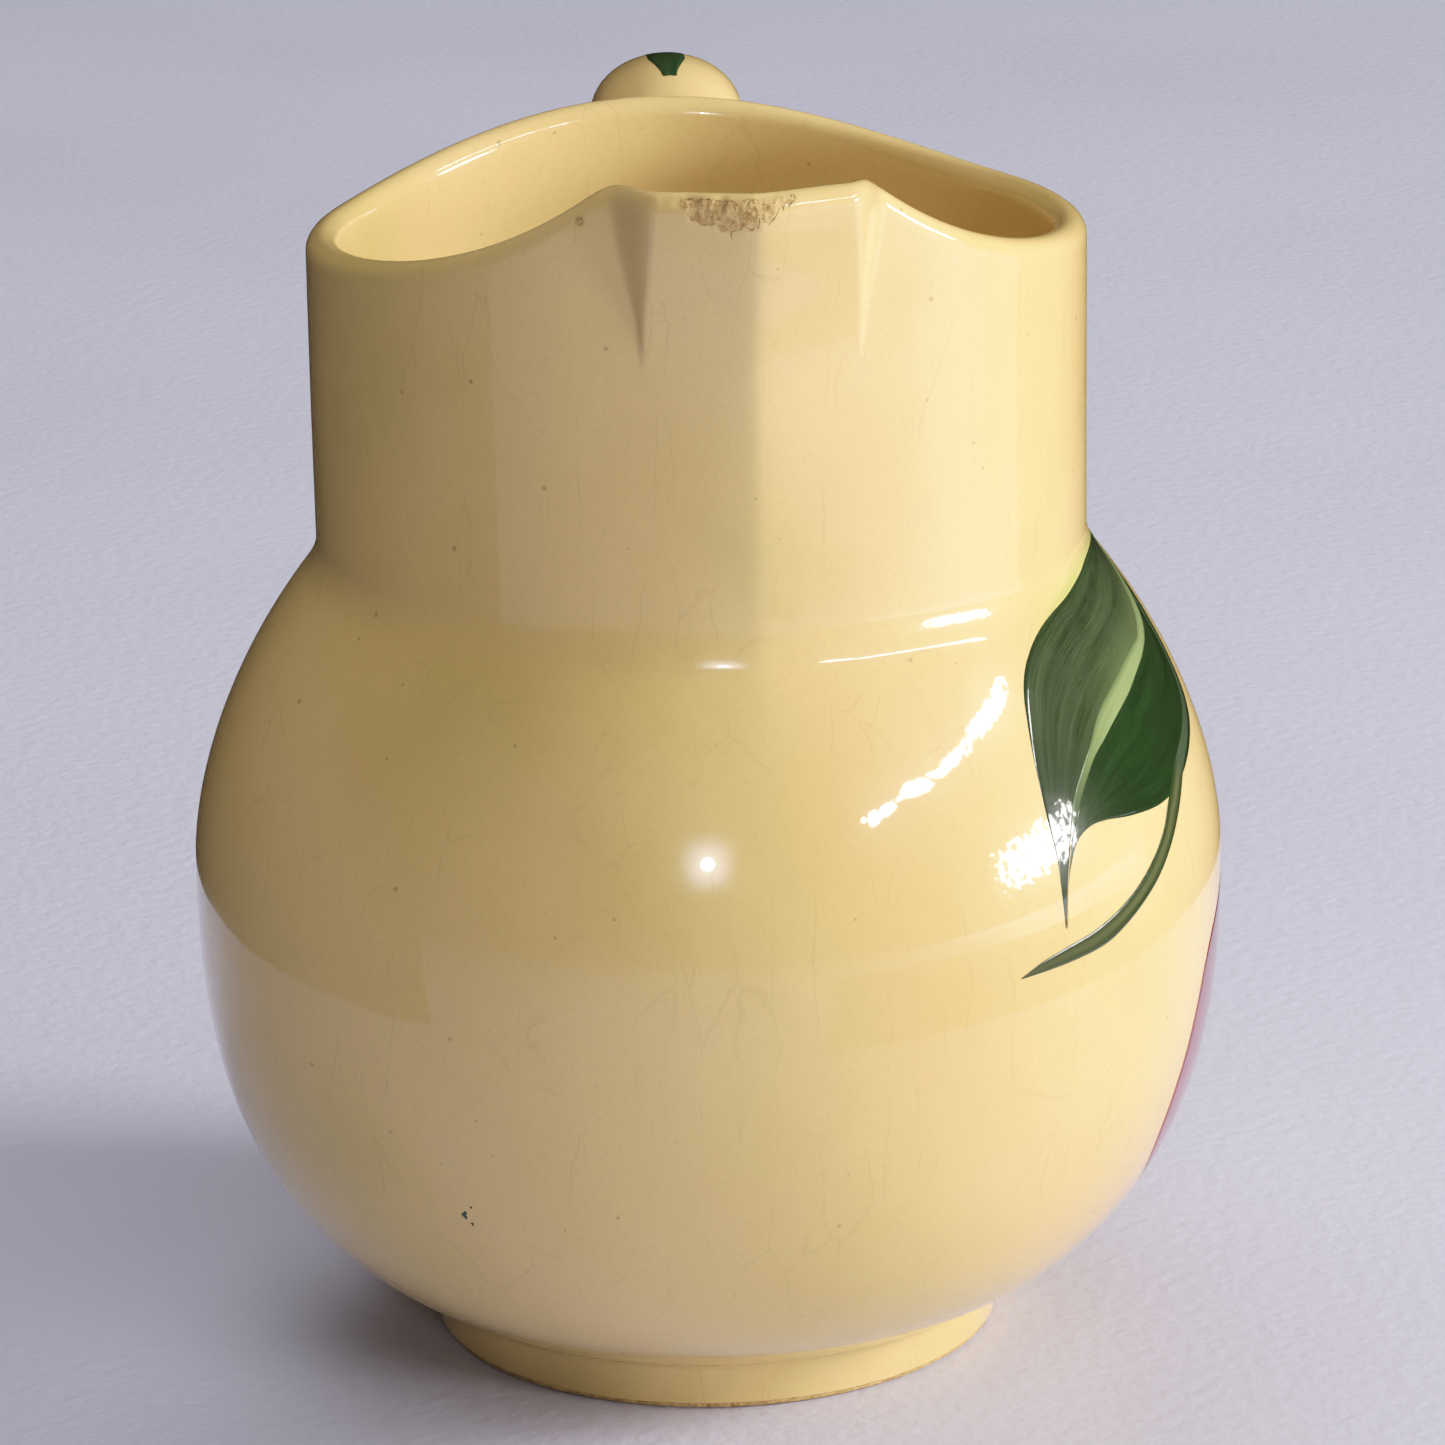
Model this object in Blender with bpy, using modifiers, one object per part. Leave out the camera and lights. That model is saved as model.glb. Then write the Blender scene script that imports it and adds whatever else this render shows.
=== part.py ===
"""Ceramic pitcher: a round bowl on a foot ring, a straight neck with a pinched
pouring spout, a strap handle and brushed slip decoration.

Metres, +Z up. The origin is on the table, under the middle of the whole part.
The spout points to -Y and the handle to +Y.
"""

import math

import bmesh
import bpy
from mathutils import Matrix

MM = 0.001

# Driving dimensions.
HEIGHT = 165.0 * MM
NECK_RADIUS = 50.0 * MM
GLOBE_RADIUS = 67.3 * MM
FOOT_RADIUS = 37.4 * MM
WALL = 4.6 * MM
GAP = 0.3 * MM

# Bowl: a superellipse below the widest ring and another one above it.
WIDEST_Z = 65.2 * MM
LOWER_POWER = 2.73
UPPER_POWER = 1.75
NECK_BASE_Z = 104.2 * MM
SHOULDER_RADIUS = NECK_RADIUS + 1.2 * MM
CREASE_RADIUS = FOOT_RADIUS + 0.6 * MM
FOOT_HEIGHT = 6.4 * MM
BASE_Z = 3.6 * MM
FLOOR_Z = 9.6 * MM
BOWL_WALL = 4.9 * MM
FLOOR_POWER = 2.6

# Foot ring.
FOOT_WIDTH = 6.2 * MM
FOOT_EDGE = 0.5 * MM

# Rim: low at the sides, a little higher at the handle, highest at the spout.
RIM_SIDE_Z = 147.6 * MM
RIM_BACK_RISE = 6.5 * MM
RIM_BACK_SPREAD = math.radians(65.0)
RIM_FADE = math.radians(25.0)

# Spout: a keel that grows up the neck, and near the lip a pinched fold at each side.
SPOUT_TURN = math.radians(4.5)
SPOUT_HALF_ANGLE = math.radians(20.5)
KEEL_PUSH = 3.6 * MM
FOLD_PUSH = 4.4 * MM
FOLD_BASE_Z = 141.0 * MM
FOLD_BASE_ANGLE = math.radians(15.5)
FOLD_INNER_ANGLE = math.radians(12.5)
SPOUT_FOOT_Z = 108.0 * MM
SPOUT_FOOT_HALF_WIDTH = 3.5 * MM
SPOUT_TOP_HALF_WIDTH = 19.0 * MM

# Where the neck's wall has a ring of points: shares of its height, from the lip down.
NECK_LEVELS = [0.95, 0.87, 0.76, 0.63, 0.5, 0.36, 0.22, 0.12]
LIP_SIDES = 6

# Handle: its centre line in the plane of the spout and the handle, from the body's axis.
HANDLE_PATH = [(45.0, 138.5), (61.5, 148.6), (81.5, 137.0), (84.6, 113.0), (57.0, 83.0)]
HANDLE_SWELL = [1.25, 1.0, 1.0, 1.0, 1.30]
HANDLE_HALF_WIDTH = 10.6 * MM
HANDLE_CROWN = 8.4 * MM
HANDLE_BELLY = 4.8 * MM
HANDLE_REACH = 95.0 * MM
HANDLE_SIDES = 20

# The body's axis, set so that the whole part is centred on the origin.
AXIS_Y = (GLOBE_RADIUS - HANDLE_REACH) / 2.0

# Slip decoration, laid on the globe.
SLIP_LIFT = 0.3 * MM
SLIP_THICKNESS = 0.3 * MM
SLIP_GRID = 6.0 * MM

STEPS = 64
NECK_STEPS = 96

# Cutting blocks reach this high, well above the rim.
CUTTER_TOP = 1.1 * HEIGHT

# The spout's wedge has its full width at this height.
WEDGE_TOP = 1.05 * HEIGHT

# Outlines of the brush strokes: degrees round from the front towards +X, height in millimetres.
LEAF_LIGHT_HALF = [
    (38.1, 69.3), (38.3, 77.0), (38.7, 85.5), (40.2, 94.5), (45.0, 100.2), (53.0, 102.6),
    (70.0, 103.2), (86.0, 103.2), (79.0, 98.0), (69.5, 95.9), (60.0, 94.3), (52.0, 91.4),
    (46.0, 87.0), (41.6, 80.0),
]
LEAF_LIGHT_TIPS = (0, 7)
LEAF_VEIN = [
    (80.0, 97.0), (74.0, 94.9), (66.0, 93.4), (58.0, 91.3), (52.0, 89.0), (47.6, 86.4),
    (52.5, 90.4), (61.0, 93.6), (70.0, 95.2),
]
LEAF_VEIN_TIPS = (0, 5)
LEAF_DARK_HALF = [
    (88.0, 101.8), (87.2, 95.0), (84.8, 88.6), (79.0, 83.4), (70.0, 80.3), (60.0, 78.8),
    (50.0, 80.0), (44.6, 80.4), (43.2, 81.0), (46.0, 84.4), (51.6, 88.2), (58.6, 90.6), (66.4, 92.7),
    (74.8, 94.3), (82.0, 97.4),
]
LEAF_DARK_TIPS = (0,)
STEM = [
    (65.2, 77.0), (62.0, 74.8), (57.0, 71.2), (50.0, 67.5), (42.0, 65.1), (31.6, 64.7),
    (38.0, 66.8), (46.0, 69.1), (52.8, 72.2), (57.2, 75.0), (60.0, 77.2),
]
STEM_TIPS = (5,)
APPLE_MIDDLE = 88.0
APPLE_LEFT_HALF = [
    (88.0, 60.4), (80.5, 61.4), (73.0, 57.6), (68.4, 52.0), (65.2, 43.0), (63.2, 34.0),
    (65.2, 26.0), (72.0, 20.6), (80.5, 18.6), (88.0, 19.6),
]
HANDLE_STROKE_HALF_WIDTH = 2.6 * MM
HANDLE_STROKE_COLUMNS = 5
HANDLE_STROKE_START = 0.27
HANDLE_STROKE_END = 0.56

GLAZE = (0.72, 0.55, 0.33)
LEAF_GREEN = (0.085, 0.16, 0.055)
DARK_GREEN = (0.025, 0.075, 0.02)
PALE_GREEN = (0.36, 0.45, 0.19)
APPLE_RED = (0.30, 0.02, 0.03)


# ---------------------------------------------------------------- scene helpers

def clear_scene():
    for obj in list(bpy.data.objects):
        bpy.data.objects.remove(obj, do_unlink=True)


def collection(name):
    made = bpy.data.collections.new(name)
    bpy.context.scene.collection.children.link(made)
    return made


def material(name, colour, roughness):
    made = bpy.data.materials.new(name)
    made.use_nodes = True
    shader = made.node_tree.nodes["Principled BSDF"]
    shader.inputs["Base Color"].default_value = (*colour, 1.0)
    shader.inputs["Roughness"].default_value = roughness
    shader.inputs["Metallic"].default_value = 0.0
    made.diffuse_color = (*colour, 1.0)
    return made


def place(name, data, surface, group):
    """Put a mesh or curve in the scene, on the body's axis."""
    obj = bpy.data.objects.new(name, data)
    obj.location = (0.0, AXIS_Y, 0.0)
    if surface is not None:
        data.materials.append(surface)
    group.objects.link(obj)
    return obj


def mark_cutter(obj):
    obj.hide_render = True
    obj.display_type = "WIRE"


def evaluated_mesh(obj, name):
    """The mesh that an object's modifiers or curve settings make, welded closed."""
    graph = bpy.context.evaluated_depsgraph_get()
    graph.update()
    mesh = bpy.data.meshes.new_from_object(obj.evaluated_get(graph))
    mesh.name = name
    shape = bmesh.new()
    shape.from_mesh(mesh)
    bmesh.ops.remove_doubles(shape, verts=shape.verts, dist=0.00001)
    bmesh.ops.recalc_face_normals(shape, faces=shape.faces)
    shape.to_mesh(mesh)
    shape.free()
    return mesh


def replace_by_mesh(obj, surface, group):
    """Turn an object into a plain mesh object of the same name and place."""
    name = obj.name
    mesh = evaluated_mesh(obj, name)
    mesh.materials.clear()
    bpy.data.objects.remove(obj, do_unlink=True)
    return place(name, mesh, surface, group)


def cut(obj, cutter, operation):
    step = obj.modifiers.new(f"{operation.lower()}_{cutter.name}", "BOOLEAN")
    step.operation = operation
    step.solver = "EXACT"
    step.object = cutter


def turned(name, profile, surface, group, steps, closed):
    """Turn a profile of (radius, height) points about the body's axis."""
    count = len(profile)
    edges = [(i, i + 1) for i in range(count - 1)]
    if closed:
        edges.append((count - 1, 0))
    mesh = bpy.data.meshes.new(name)
    mesh.from_pydata([(r, 0.0, z) for r, z in profile], edges, [])
    obj = place(name, mesh, surface, group)
    screw = obj.modifiers.new("turn", "SCREW")
    screw.axis = "Z"
    screw.angle = math.tau
    screw.steps = steps
    screw.render_steps = steps
    screw.use_merge_vertices = True
    screw.merge_threshold = 0.00001
    screw.use_smooth_shade = True
    return obj


# ---------------------------------------------------------------- shape rules

def depth_for(widest, edge, rise, power):
    """Depth of a superellipse of that widest radius that has radius edge at height rise."""
    return rise / (1.0 - (edge / widest) ** power) ** (1.0 / power)


LOWER_DEPTH = depth_for(GLOBE_RADIUS, CREASE_RADIUS, WIDEST_Z - FOOT_HEIGHT, LOWER_POWER)
UPPER_DEPTH = depth_for(GLOBE_RADIUS, SHOULDER_RADIUS, NECK_BASE_Z - WIDEST_Z, UPPER_POWER)


def globe_radius(z):
    """Outer radius of the bowl at a height."""
    if z < WIDEST_Z:
        depth, power = LOWER_DEPTH, LOWER_POWER
    else:
        depth, power = UPPER_DEPTH, UPPER_POWER
    share = min(abs(z - WIDEST_Z) / depth, 1.0)
    return GLOBE_RADIUS * (1.0 - share ** power) ** (1.0 / power)


def superellipse(widest, depth, power, edge, count):
    """Points (radius, distance from the widest ring), from the widest ring to radius edge."""
    last = math.acos((edge / widest) ** (power / 2.0))
    points = []
    for i in range(count + 1):
        turn = last * i / count
        radius = widest * math.cos(turn) ** (2.0 / power)
        points.append((radius, depth * math.sin(turn) ** (2.0 / power)))
    points[-1] = (edge, points[-1][1])
    return points


def rim_height(angle):
    """Height of the rim's crest at an angle from the spout."""
    away = abs(angle)
    past_spout = max(0.0, away - SPOUT_HALF_ANGLE)
    front = (HEIGHT - RIM_SIDE_Z) * math.exp(-past_spout / RIM_FADE)
    from_back = min((math.pi - away) / RIM_BACK_SPREAD, 1.0)
    back = RIM_BACK_RISE * (1.0 + math.cos(math.pi * from_back)) / 2.0
    return RIM_SIDE_Z + front + back


def spout_push(angle, z):
    """How far the spout stands out of the neck's circle."""
    away = abs(angle)
    up = min(max((z - NECK_BASE_Z) / (HEIGHT - NECK_BASE_Z), 0.0), 1.0)
    keel = KEEL_PUSH * up * max(0.0, 1.0 - away / SPOUT_HALF_ANGLE)
    pinch = min(max((z - FOLD_BASE_Z) / (HEIGHT - FOLD_BASE_Z), 0.0), 1.0)
    outer = FOLD_BASE_ANGLE + (SPOUT_HALF_ANGLE - FOLD_BASE_ANGLE) * pinch
    inner = FOLD_BASE_ANGLE + (FOLD_INNER_ANGLE - FOLD_BASE_ANGLE) * pinch
    across = min(max((outer - away) / max(outer - inner, 0.001), 0.0), 1.0)
    return keel + FOLD_PUSH * pinch * across


def angle_from_spout(x, y):
    angle = math.atan2(x, -y) - SPOUT_TURN
    return (angle + math.pi) % math.tau - math.pi


# ---------------------------------------------------------------- clay pieces

def make_bowl(surface, group):
    inner_widest = GLOBE_RADIUS - BOWL_WALL
    mouth = NECK_RADIUS - WALL
    inner_upper = depth_for(inner_widest, mouth, NECK_BASE_Z - WIDEST_Z, UPPER_POWER)
    floor = superellipse(inner_widest, WIDEST_Z - FLOOR_Z, FLOOR_POWER, 0.0, 9)
    inside_top = superellipse(inner_widest, inner_upper, UPPER_POWER, mouth, 5)
    outside_top = superellipse(GLOBE_RADIUS, UPPER_DEPTH, UPPER_POWER, SHOULDER_RADIUS, 6)
    outside_low = superellipse(GLOBE_RADIUS, LOWER_DEPTH, LOWER_POWER, CREASE_RADIUS, 10)
    plug = FOOT_RADIUS - FOOT_WIDTH - GAP

    profile = [(r, WIDEST_Z - d) for r, d in reversed(floor)]
    profile += [(r, WIDEST_Z + d) for r, d in inside_top[1:]]
    profile += [(r, WIDEST_Z + d) for r, d in reversed(outside_top)]
    profile += [(r, WIDEST_Z - d) for r, d in outside_low[1:]]
    profile += [(plug, FOOT_HEIGHT), (plug - FOOT_EDGE, BASE_Z), (0.0, BASE_Z)]
    return turned("bowl", profile, surface, group, STEPS, closed=False)


def make_foot_ring(surface, group):
    top = FOOT_HEIGHT - GAP
    inner = FOOT_RADIUS - FOOT_WIDTH
    profile = [
        (CREASE_RADIUS, top),
        (FOOT_RADIUS, 2.0 * FOOT_EDGE),
        (FOOT_RADIUS - FOOT_EDGE, 0.0),
        (inner + FOOT_EDGE, 0.0),
        (inner, FOOT_EDGE),
        (inner, top),
    ]
    return turned("foot_ring", profile, surface, group, STEPS, closed=True)


def neck_profile():
    """The neck's wall: down the outer side, up the inner side and over the round lip."""
    lip = WALL / 2.0
    lip_z = RIM_SIDE_Z - lip
    base = NECK_BASE_Z + GAP
    profile = [(NECK_RADIUS, lip_z)]
    profile += [(NECK_RADIUS, base + (lip_z - base) * t) for t in NECK_LEVELS]
    profile += [(SHOULDER_RADIUS - GAP, base), (NECK_RADIUS - WALL, base)]
    profile += [(NECK_RADIUS - WALL, base + (lip_z - base) * t) for t in reversed(NECK_LEVELS)]
    for i in range(LIP_SIDES):
        turn = math.pi * (1.0 - i / LIP_SIDES)
        profile.append((NECK_RADIUS - lip + lip * math.cos(turn), lip_z + lip * math.sin(turn)))
    return profile


def shape_neck(mesh):
    """Lift the turned neck to the saddle of the rim, and push the spout out of it."""
    base = NECK_BASE_Z + GAP
    for vertex in mesh.vertices:
        x, y, z = vertex.co
        angle = angle_from_spout(x, y)
        share = min((z - base) / (RIM_SIDE_Z - WALL - base), 1.0)
        lifted = z + share * (rim_height(angle) - RIM_SIDE_Z)
        radius = math.hypot(x, y)
        scale = (radius + spout_push(angle, lifted)) / radius
        vertex.co = (x * scale, y * scale, lifted)
    mesh.update()


def spout_wedge(name, group, slack):
    """A V-shaped block that parts the spout from the neck."""
    low = SPOUT_FOOT_HALF_WIDTH + slack
    high = SPOUT_TOP_HALF_WIDTH + slack
    foot = SPOUT_FOOT_Z - slack
    curve = bpy.data.curves.new(name, "CURVE")
    curve.dimensions = "2D"
    curve.fill_mode = "BOTH"
    curve.extrude = NECK_RADIUS / 2.0
    spline = curve.splines.new("POLY")
    corners = [(-low, foot), (low, foot), (high, WEDGE_TOP), (-high, WEDGE_TOP)]
    spline.points.add(len(corners) - 1)
    for point, (x, z) in zip(spline.points, corners):
        point.co = (x, z, 0.0, 1.0)
    spline.use_cyclic_u = True
    flat = place(name, curve, None, group)
    mesh = evaluated_mesh(flat, name)
    bpy.data.objects.remove(flat, do_unlink=True)
    mesh.transform(Matrix.Rotation(math.pi / 2.0, 4, "X"))
    mesh.transform(Matrix.Translation((0.0, -NECK_RADIUS, 0.0)))
    mesh.transform(Matrix.Rotation(SPOUT_TURN, 4, "Z"))
    wedge = place(name, mesh, None, group)
    mark_cutter(wedge)
    return wedge


def make_neck_and_spout(surface, group, cutters):
    blank = turned("neck_collar", neck_profile(), surface, group, NECK_STEPS, closed=True)
    neck = replace_by_mesh(blank, surface, group)
    shape_neck(neck.data)
    spout = place("spout", neck.data.copy(), None, group)
    cut(neck, spout_wedge("spout_notch", cutters, GAP / 2.0), "DIFFERENCE")
    cut(spout, spout_wedge("spout_blank", cutters, -GAP / 2.0), "INTERSECT")
    return neck, spout


def handle_section(name, group):
    """Cross-section of the strap: a round crown outside and a shallow belly inside."""
    curve = bpy.data.curves.new(name, "CURVE")
    curve.dimensions = "2D"
    curve.fill_mode = "NONE"
    spline = curve.splines.new("POLY")
    spline.points.add(HANDLE_SIDES - 1)
    for i, point in enumerate(spline.points):
        turn = math.tau * i / HANDLE_SIDES
        height = HANDLE_CROWN if math.sin(turn) > 0.0 else HANDLE_BELLY
        point.co = (HANDLE_HALF_WIDTH * math.cos(turn), height * math.sin(turn), 0.0, 1.0)
    spline.use_cyclic_u = True
    section = place(name, curve, None, group)
    mark_cutter(section)
    return section


def make_handle(surface, group, cutters):
    curve = bpy.data.curves.new("handle", "CURVE")
    curve.dimensions = "3D"
    curve.bevel_mode = "OBJECT"
    curve.bevel_object = handle_section("handle_section", cutters)
    curve.use_fill_caps = True
    curve.resolution_u = 9
    curve.render_resolution_u = 0
    spline = curve.splines.new("BEZIER")
    spline.bezier_points.add(len(HANDLE_PATH) - 1)
    for point, (y, z), swell in zip(spline.bezier_points, HANDLE_PATH, HANDLE_SWELL):
        point.co = (0.0, y * MM, z * MM)
        point.radius = swell
        point.handle_left_type = "AUTO"
        point.handle_right_type = "AUTO"
    swept = place("handle", curve, surface, group)
    handle = replace_by_mesh(swept, surface, group)
    handle.data.shade_smooth()

    neck_block = [(0.0, CUTTER_TOP), (NECK_RADIUS + GAP, CUTTER_TOP),
                  (NECK_RADIUS + GAP, NECK_BASE_Z), (0.0, NECK_BASE_Z)]
    neck_cutter = turned("handle_neck_cutter", neck_block, None, cutters, STEPS, closed=False)
    low = superellipse(GLOBE_RADIUS, LOWER_DEPTH, LOWER_POWER, CREASE_RADIUS, 8)
    high = superellipse(GLOBE_RADIUS, UPPER_DEPTH, UPPER_POWER, SHOULDER_RADIUS, 16)
    globe_block = [(0.0, NECK_BASE_Z + GAP)]
    globe_block += [(r + GAP, WIDEST_Z + d) for r, d in reversed(high)]
    globe_block += [(r + GAP, WIDEST_Z - d) for r, d in low[1:]]
    globe_block += [(0.0, FOOT_HEIGHT)]
    globe_cutter = turned("handle_globe_cutter", globe_block, None, cutters, STEPS, closed=False)
    for cutter in (neck_cutter, globe_cutter):
        mark_cutter(cutter)
        cut(handle, cutter, "DIFFERENCE")
    return handle


# ---------------------------------------------------------------- slip decoration

def flat_stroke(name, outline, tips, group):
    """A closed flat prism of a brush stroke, with the globe's surface unrolled."""
    curve = bpy.data.curves.new(name, "CURVE")
    curve.dimensions = "2D"
    curve.fill_mode = "BOTH"
    curve.extrude = SLIP_THICKNESS / 2.0
    curve.resolution_u = 3
    curve.render_resolution_u = 0
    spline = curve.splines.new("BEZIER")
    spline.bezier_points.add(len(outline) - 1)
    spline.use_cyclic_u = True
    for i, (point, (degrees, height)) in enumerate(zip(spline.bezier_points, outline)):
        point.co = (math.radians(degrees) * GLOBE_RADIUS, height * MM, 0.0)
        kind = "VECTOR" if i in tips else "AUTO"
        point.handle_left_type = kind
        point.handle_right_type = kind
    flat = place(name, curve, None, group)
    mesh = evaluated_mesh(flat, name)
    bpy.data.objects.remove(flat, do_unlink=True)
    return mesh


def grid_cuts(mesh):
    """Cut the prism along a square grid, so that it can bend."""
    shape = bmesh.new()
    shape.from_mesh(mesh)
    for axis in (0, 1):
        low = min(v.co[axis] for v in shape.verts)
        high = max(v.co[axis] for v in shape.verts)
        lines = int((high - low) / SLIP_GRID)
        normal = (1.0, 0.0, 0.0) if axis == 0 else (0.0, 1.0, 0.0)
        for i in range(1, lines + 1):
            place_at = low + (high - low) * i / (lines + 1)
            point = tuple(place_at * n for n in normal)
            everything = list(shape.verts) + list(shape.edges) + list(shape.faces)
            bmesh.ops.bisect_plane(shape, geom=everything, plane_co=point, plane_no=normal)
    bmesh.ops.triangulate(shape, faces=shape.faces)
    shape.to_mesh(mesh)
    shape.free()


def wrap_on_globe(mesh):
    """Bend a flat stroke on to the globe, clear of it by the lift."""
    step = 0.1 * MM
    for vertex in mesh.vertices:
        across, height, layer = vertex.co
        angle = across / GLOBE_RADIUS
        slope = (globe_radius(height + step) - globe_radius(height - step)) / (2.0 * step)
        tilt = math.atan(slope)
        lift = SLIP_LIFT + SLIP_THICKNESS / 2.0 + layer
        radius = globe_radius(height) + lift * math.cos(tilt)
        z = height - lift * math.sin(tilt)
        vertex.co = (radius * math.sin(angle), -radius * math.cos(angle), z)
    mesh.update()


def make_stroke(name, outline, tips, surface, group):
    mesh = flat_stroke(name, outline, tips, group)
    grid_cuts(mesh)
    wrap_on_globe(mesh)
    return place(name, mesh, surface, group)


def apple_outline():
    """A round fruit with a dip at its top: the drawn half and its mirror image."""
    mirrored = [(2.0 * APPLE_MIDDLE - degrees, z) for degrees, z in APPLE_LEFT_HALF[1:-1]]
    return APPLE_LEFT_HALF + mirrored[::-1]


def make_handle_stroke(surface, group):
    """A brush stroke along the crown of the handle."""
    curve = bpy.data.curves.new("path", "CURVE")
    curve.dimensions = "3D"
    curve.resolution_u = 9
    spline = curve.splines.new("BEZIER")
    spline.bezier_points.add(len(HANDLE_PATH) - 1)
    for point, (y, z) in zip(spline.bezier_points, HANDLE_PATH):
        point.co = (0.0, y * MM, z * MM)
        point.handle_left_type = "AUTO"
        point.handle_right_type = "AUTO"
    guide = place("path", curve, None, group)
    graph = bpy.context.evaluated_depsgraph_get()
    graph.update()
    line = guide.evaluated_get(graph).to_mesh()
    points = [vertex.co.copy() for vertex in line.vertices]
    guide.evaluated_get(graph).to_mesh_clear()
    bpy.data.objects.remove(guide, do_unlink=True)

    first = int(HANDLE_STROKE_START * (len(points) - 1))
    last = int(HANDLE_STROKE_END * (len(points) - 1))
    shape = bmesh.new()
    layers = []
    for lift in (SLIP_LIFT + SLIP_THICKNESS, SLIP_LIFT):
        rows = []
        for i in range(first, last + 1):
            along = (points[i + 1] - points[i - 1]).normalized()
            out_y, out_z = -along.z, along.y
            row = []
            for j in range(HANDLE_STROKE_COLUMNS):
                x = HANDLE_STROKE_HALF_WIDTH * (2.0 * j / (HANDLE_STROKE_COLUMNS - 1) - 1.0)
                crown = HANDLE_CROWN * math.sqrt(1.0 - (x / HANDLE_HALF_WIDTH) ** 2)
                reach = crown + lift
                row.append(shape.verts.new((x, points[i].y + reach * out_y, points[i].z + reach * out_z)))
            rows.append(row)
        layers.append(rows)
    top, under = layers
    last_row, last_column = len(top) - 1, HANDLE_STROKE_COLUMNS - 1
    for i in range(last_row):
        for j in range(last_column):
            shape.faces.new((top[i][j], top[i][j + 1], top[i + 1][j + 1], top[i + 1][j]))
            shape.faces.new((under[i][j], under[i + 1][j], under[i + 1][j + 1], under[i][j + 1]))
        for j in (0, last_column):
            shape.faces.new((top[i][j], top[i + 1][j], under[i + 1][j], under[i][j]))
    for i in (0, last_row):
        for j in range(last_column):
            shape.faces.new((top[i][j], top[i][j + 1], under[i][j + 1], under[i][j]))
    bmesh.ops.recalc_face_normals(shape, faces=shape.faces)
    mesh = bpy.data.meshes.new("handle_stroke")
    shape.to_mesh(mesh)
    shape.free()
    return place("handle_stroke", mesh, surface, group)


# ---------------------------------------------------------------- build

def main():
    clear_scene()
    pitcher = collection("ceramic_pitcher")
    cutters = collection("cutters")
    glaze = material("cream_glaze", GLAZE, 0.15)
    leaf_green = material("leaf_green_slip", LEAF_GREEN, 0.2)
    dark_green = material("dark_green_slip", DARK_GREEN, 0.2)
    pale_green = material("pale_green_slip", PALE_GREEN, 0.2)
    red = material("apple_red_slip", APPLE_RED, 0.2)

    make_bowl(glaze, pitcher)
    make_foot_ring(glaze, pitcher)
    make_neck_and_spout(glaze, pitcher, cutters)
    make_handle(glaze, pitcher, cutters)
    make_stroke("leaf_light_half", LEAF_LIGHT_HALF, LEAF_LIGHT_TIPS, leaf_green, pitcher)
    make_stroke("leaf_dark_half", LEAF_DARK_HALF, LEAF_DARK_TIPS, dark_green, pitcher)
    make_stroke("leaf_vein", LEAF_VEIN, LEAF_VEIN_TIPS, pale_green, pitcher)
    make_stroke("stem_stroke", STEM, STEM_TIPS, leaf_green, pitcher)
    make_stroke("apple", apple_outline(), (), red, pitcher)
    make_handle_stroke(dark_green, pitcher)


main()
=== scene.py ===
"""The finished look of the ceramic pitcher: one glazed body, a strap handle, brushed slip
decoration, a pale floor and soft studio light. Bright panes and a dark card show only in reflections.

Metres, +Z up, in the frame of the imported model. The spout points to -Y, the handle to +Y.
"""

import math

import bmesh
import bpy
from mathutils import Matrix, Vector, noise


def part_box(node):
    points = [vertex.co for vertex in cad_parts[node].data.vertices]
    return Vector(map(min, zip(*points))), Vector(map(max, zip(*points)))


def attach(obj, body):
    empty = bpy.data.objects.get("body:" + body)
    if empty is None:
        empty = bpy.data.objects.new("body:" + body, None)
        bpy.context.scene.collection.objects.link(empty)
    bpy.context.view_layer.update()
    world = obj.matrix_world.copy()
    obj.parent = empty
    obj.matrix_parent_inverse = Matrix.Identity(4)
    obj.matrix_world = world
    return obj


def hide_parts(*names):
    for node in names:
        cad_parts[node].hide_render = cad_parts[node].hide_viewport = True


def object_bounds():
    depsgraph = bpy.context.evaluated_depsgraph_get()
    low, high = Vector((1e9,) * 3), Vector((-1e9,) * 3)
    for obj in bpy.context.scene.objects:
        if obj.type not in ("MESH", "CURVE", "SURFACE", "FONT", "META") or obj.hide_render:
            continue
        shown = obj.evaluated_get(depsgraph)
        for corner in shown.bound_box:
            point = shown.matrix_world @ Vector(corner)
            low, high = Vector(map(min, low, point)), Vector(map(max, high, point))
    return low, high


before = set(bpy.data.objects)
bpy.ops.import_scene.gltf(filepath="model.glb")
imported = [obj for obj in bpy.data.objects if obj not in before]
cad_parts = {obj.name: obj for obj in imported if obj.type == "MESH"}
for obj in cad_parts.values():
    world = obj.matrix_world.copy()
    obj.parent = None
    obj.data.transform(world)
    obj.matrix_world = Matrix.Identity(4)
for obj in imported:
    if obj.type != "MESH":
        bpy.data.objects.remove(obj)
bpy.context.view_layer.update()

MM = 0.001

# ---------------------------------------------------------------- sizes

# Sizes that the frame gives.
BOWL_LOW, BOWL_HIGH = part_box("bowl")
FOOT_LOW, FOOT_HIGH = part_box("foot_ring")
GLOBE_RADIUS = (BOWL_HIGH.x - BOWL_LOW.x) / 2.0
AXIS = Vector(((BOWL_LOW.x + BOWL_HIGH.x) / 2.0, (BOWL_LOW.y + BOWL_HIGH.y) / 2.0, 0.0))
CREASE_RADIUS = (FOOT_HIGH.x - FOOT_LOW.x) / 2.0
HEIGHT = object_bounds()[1].z

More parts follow.
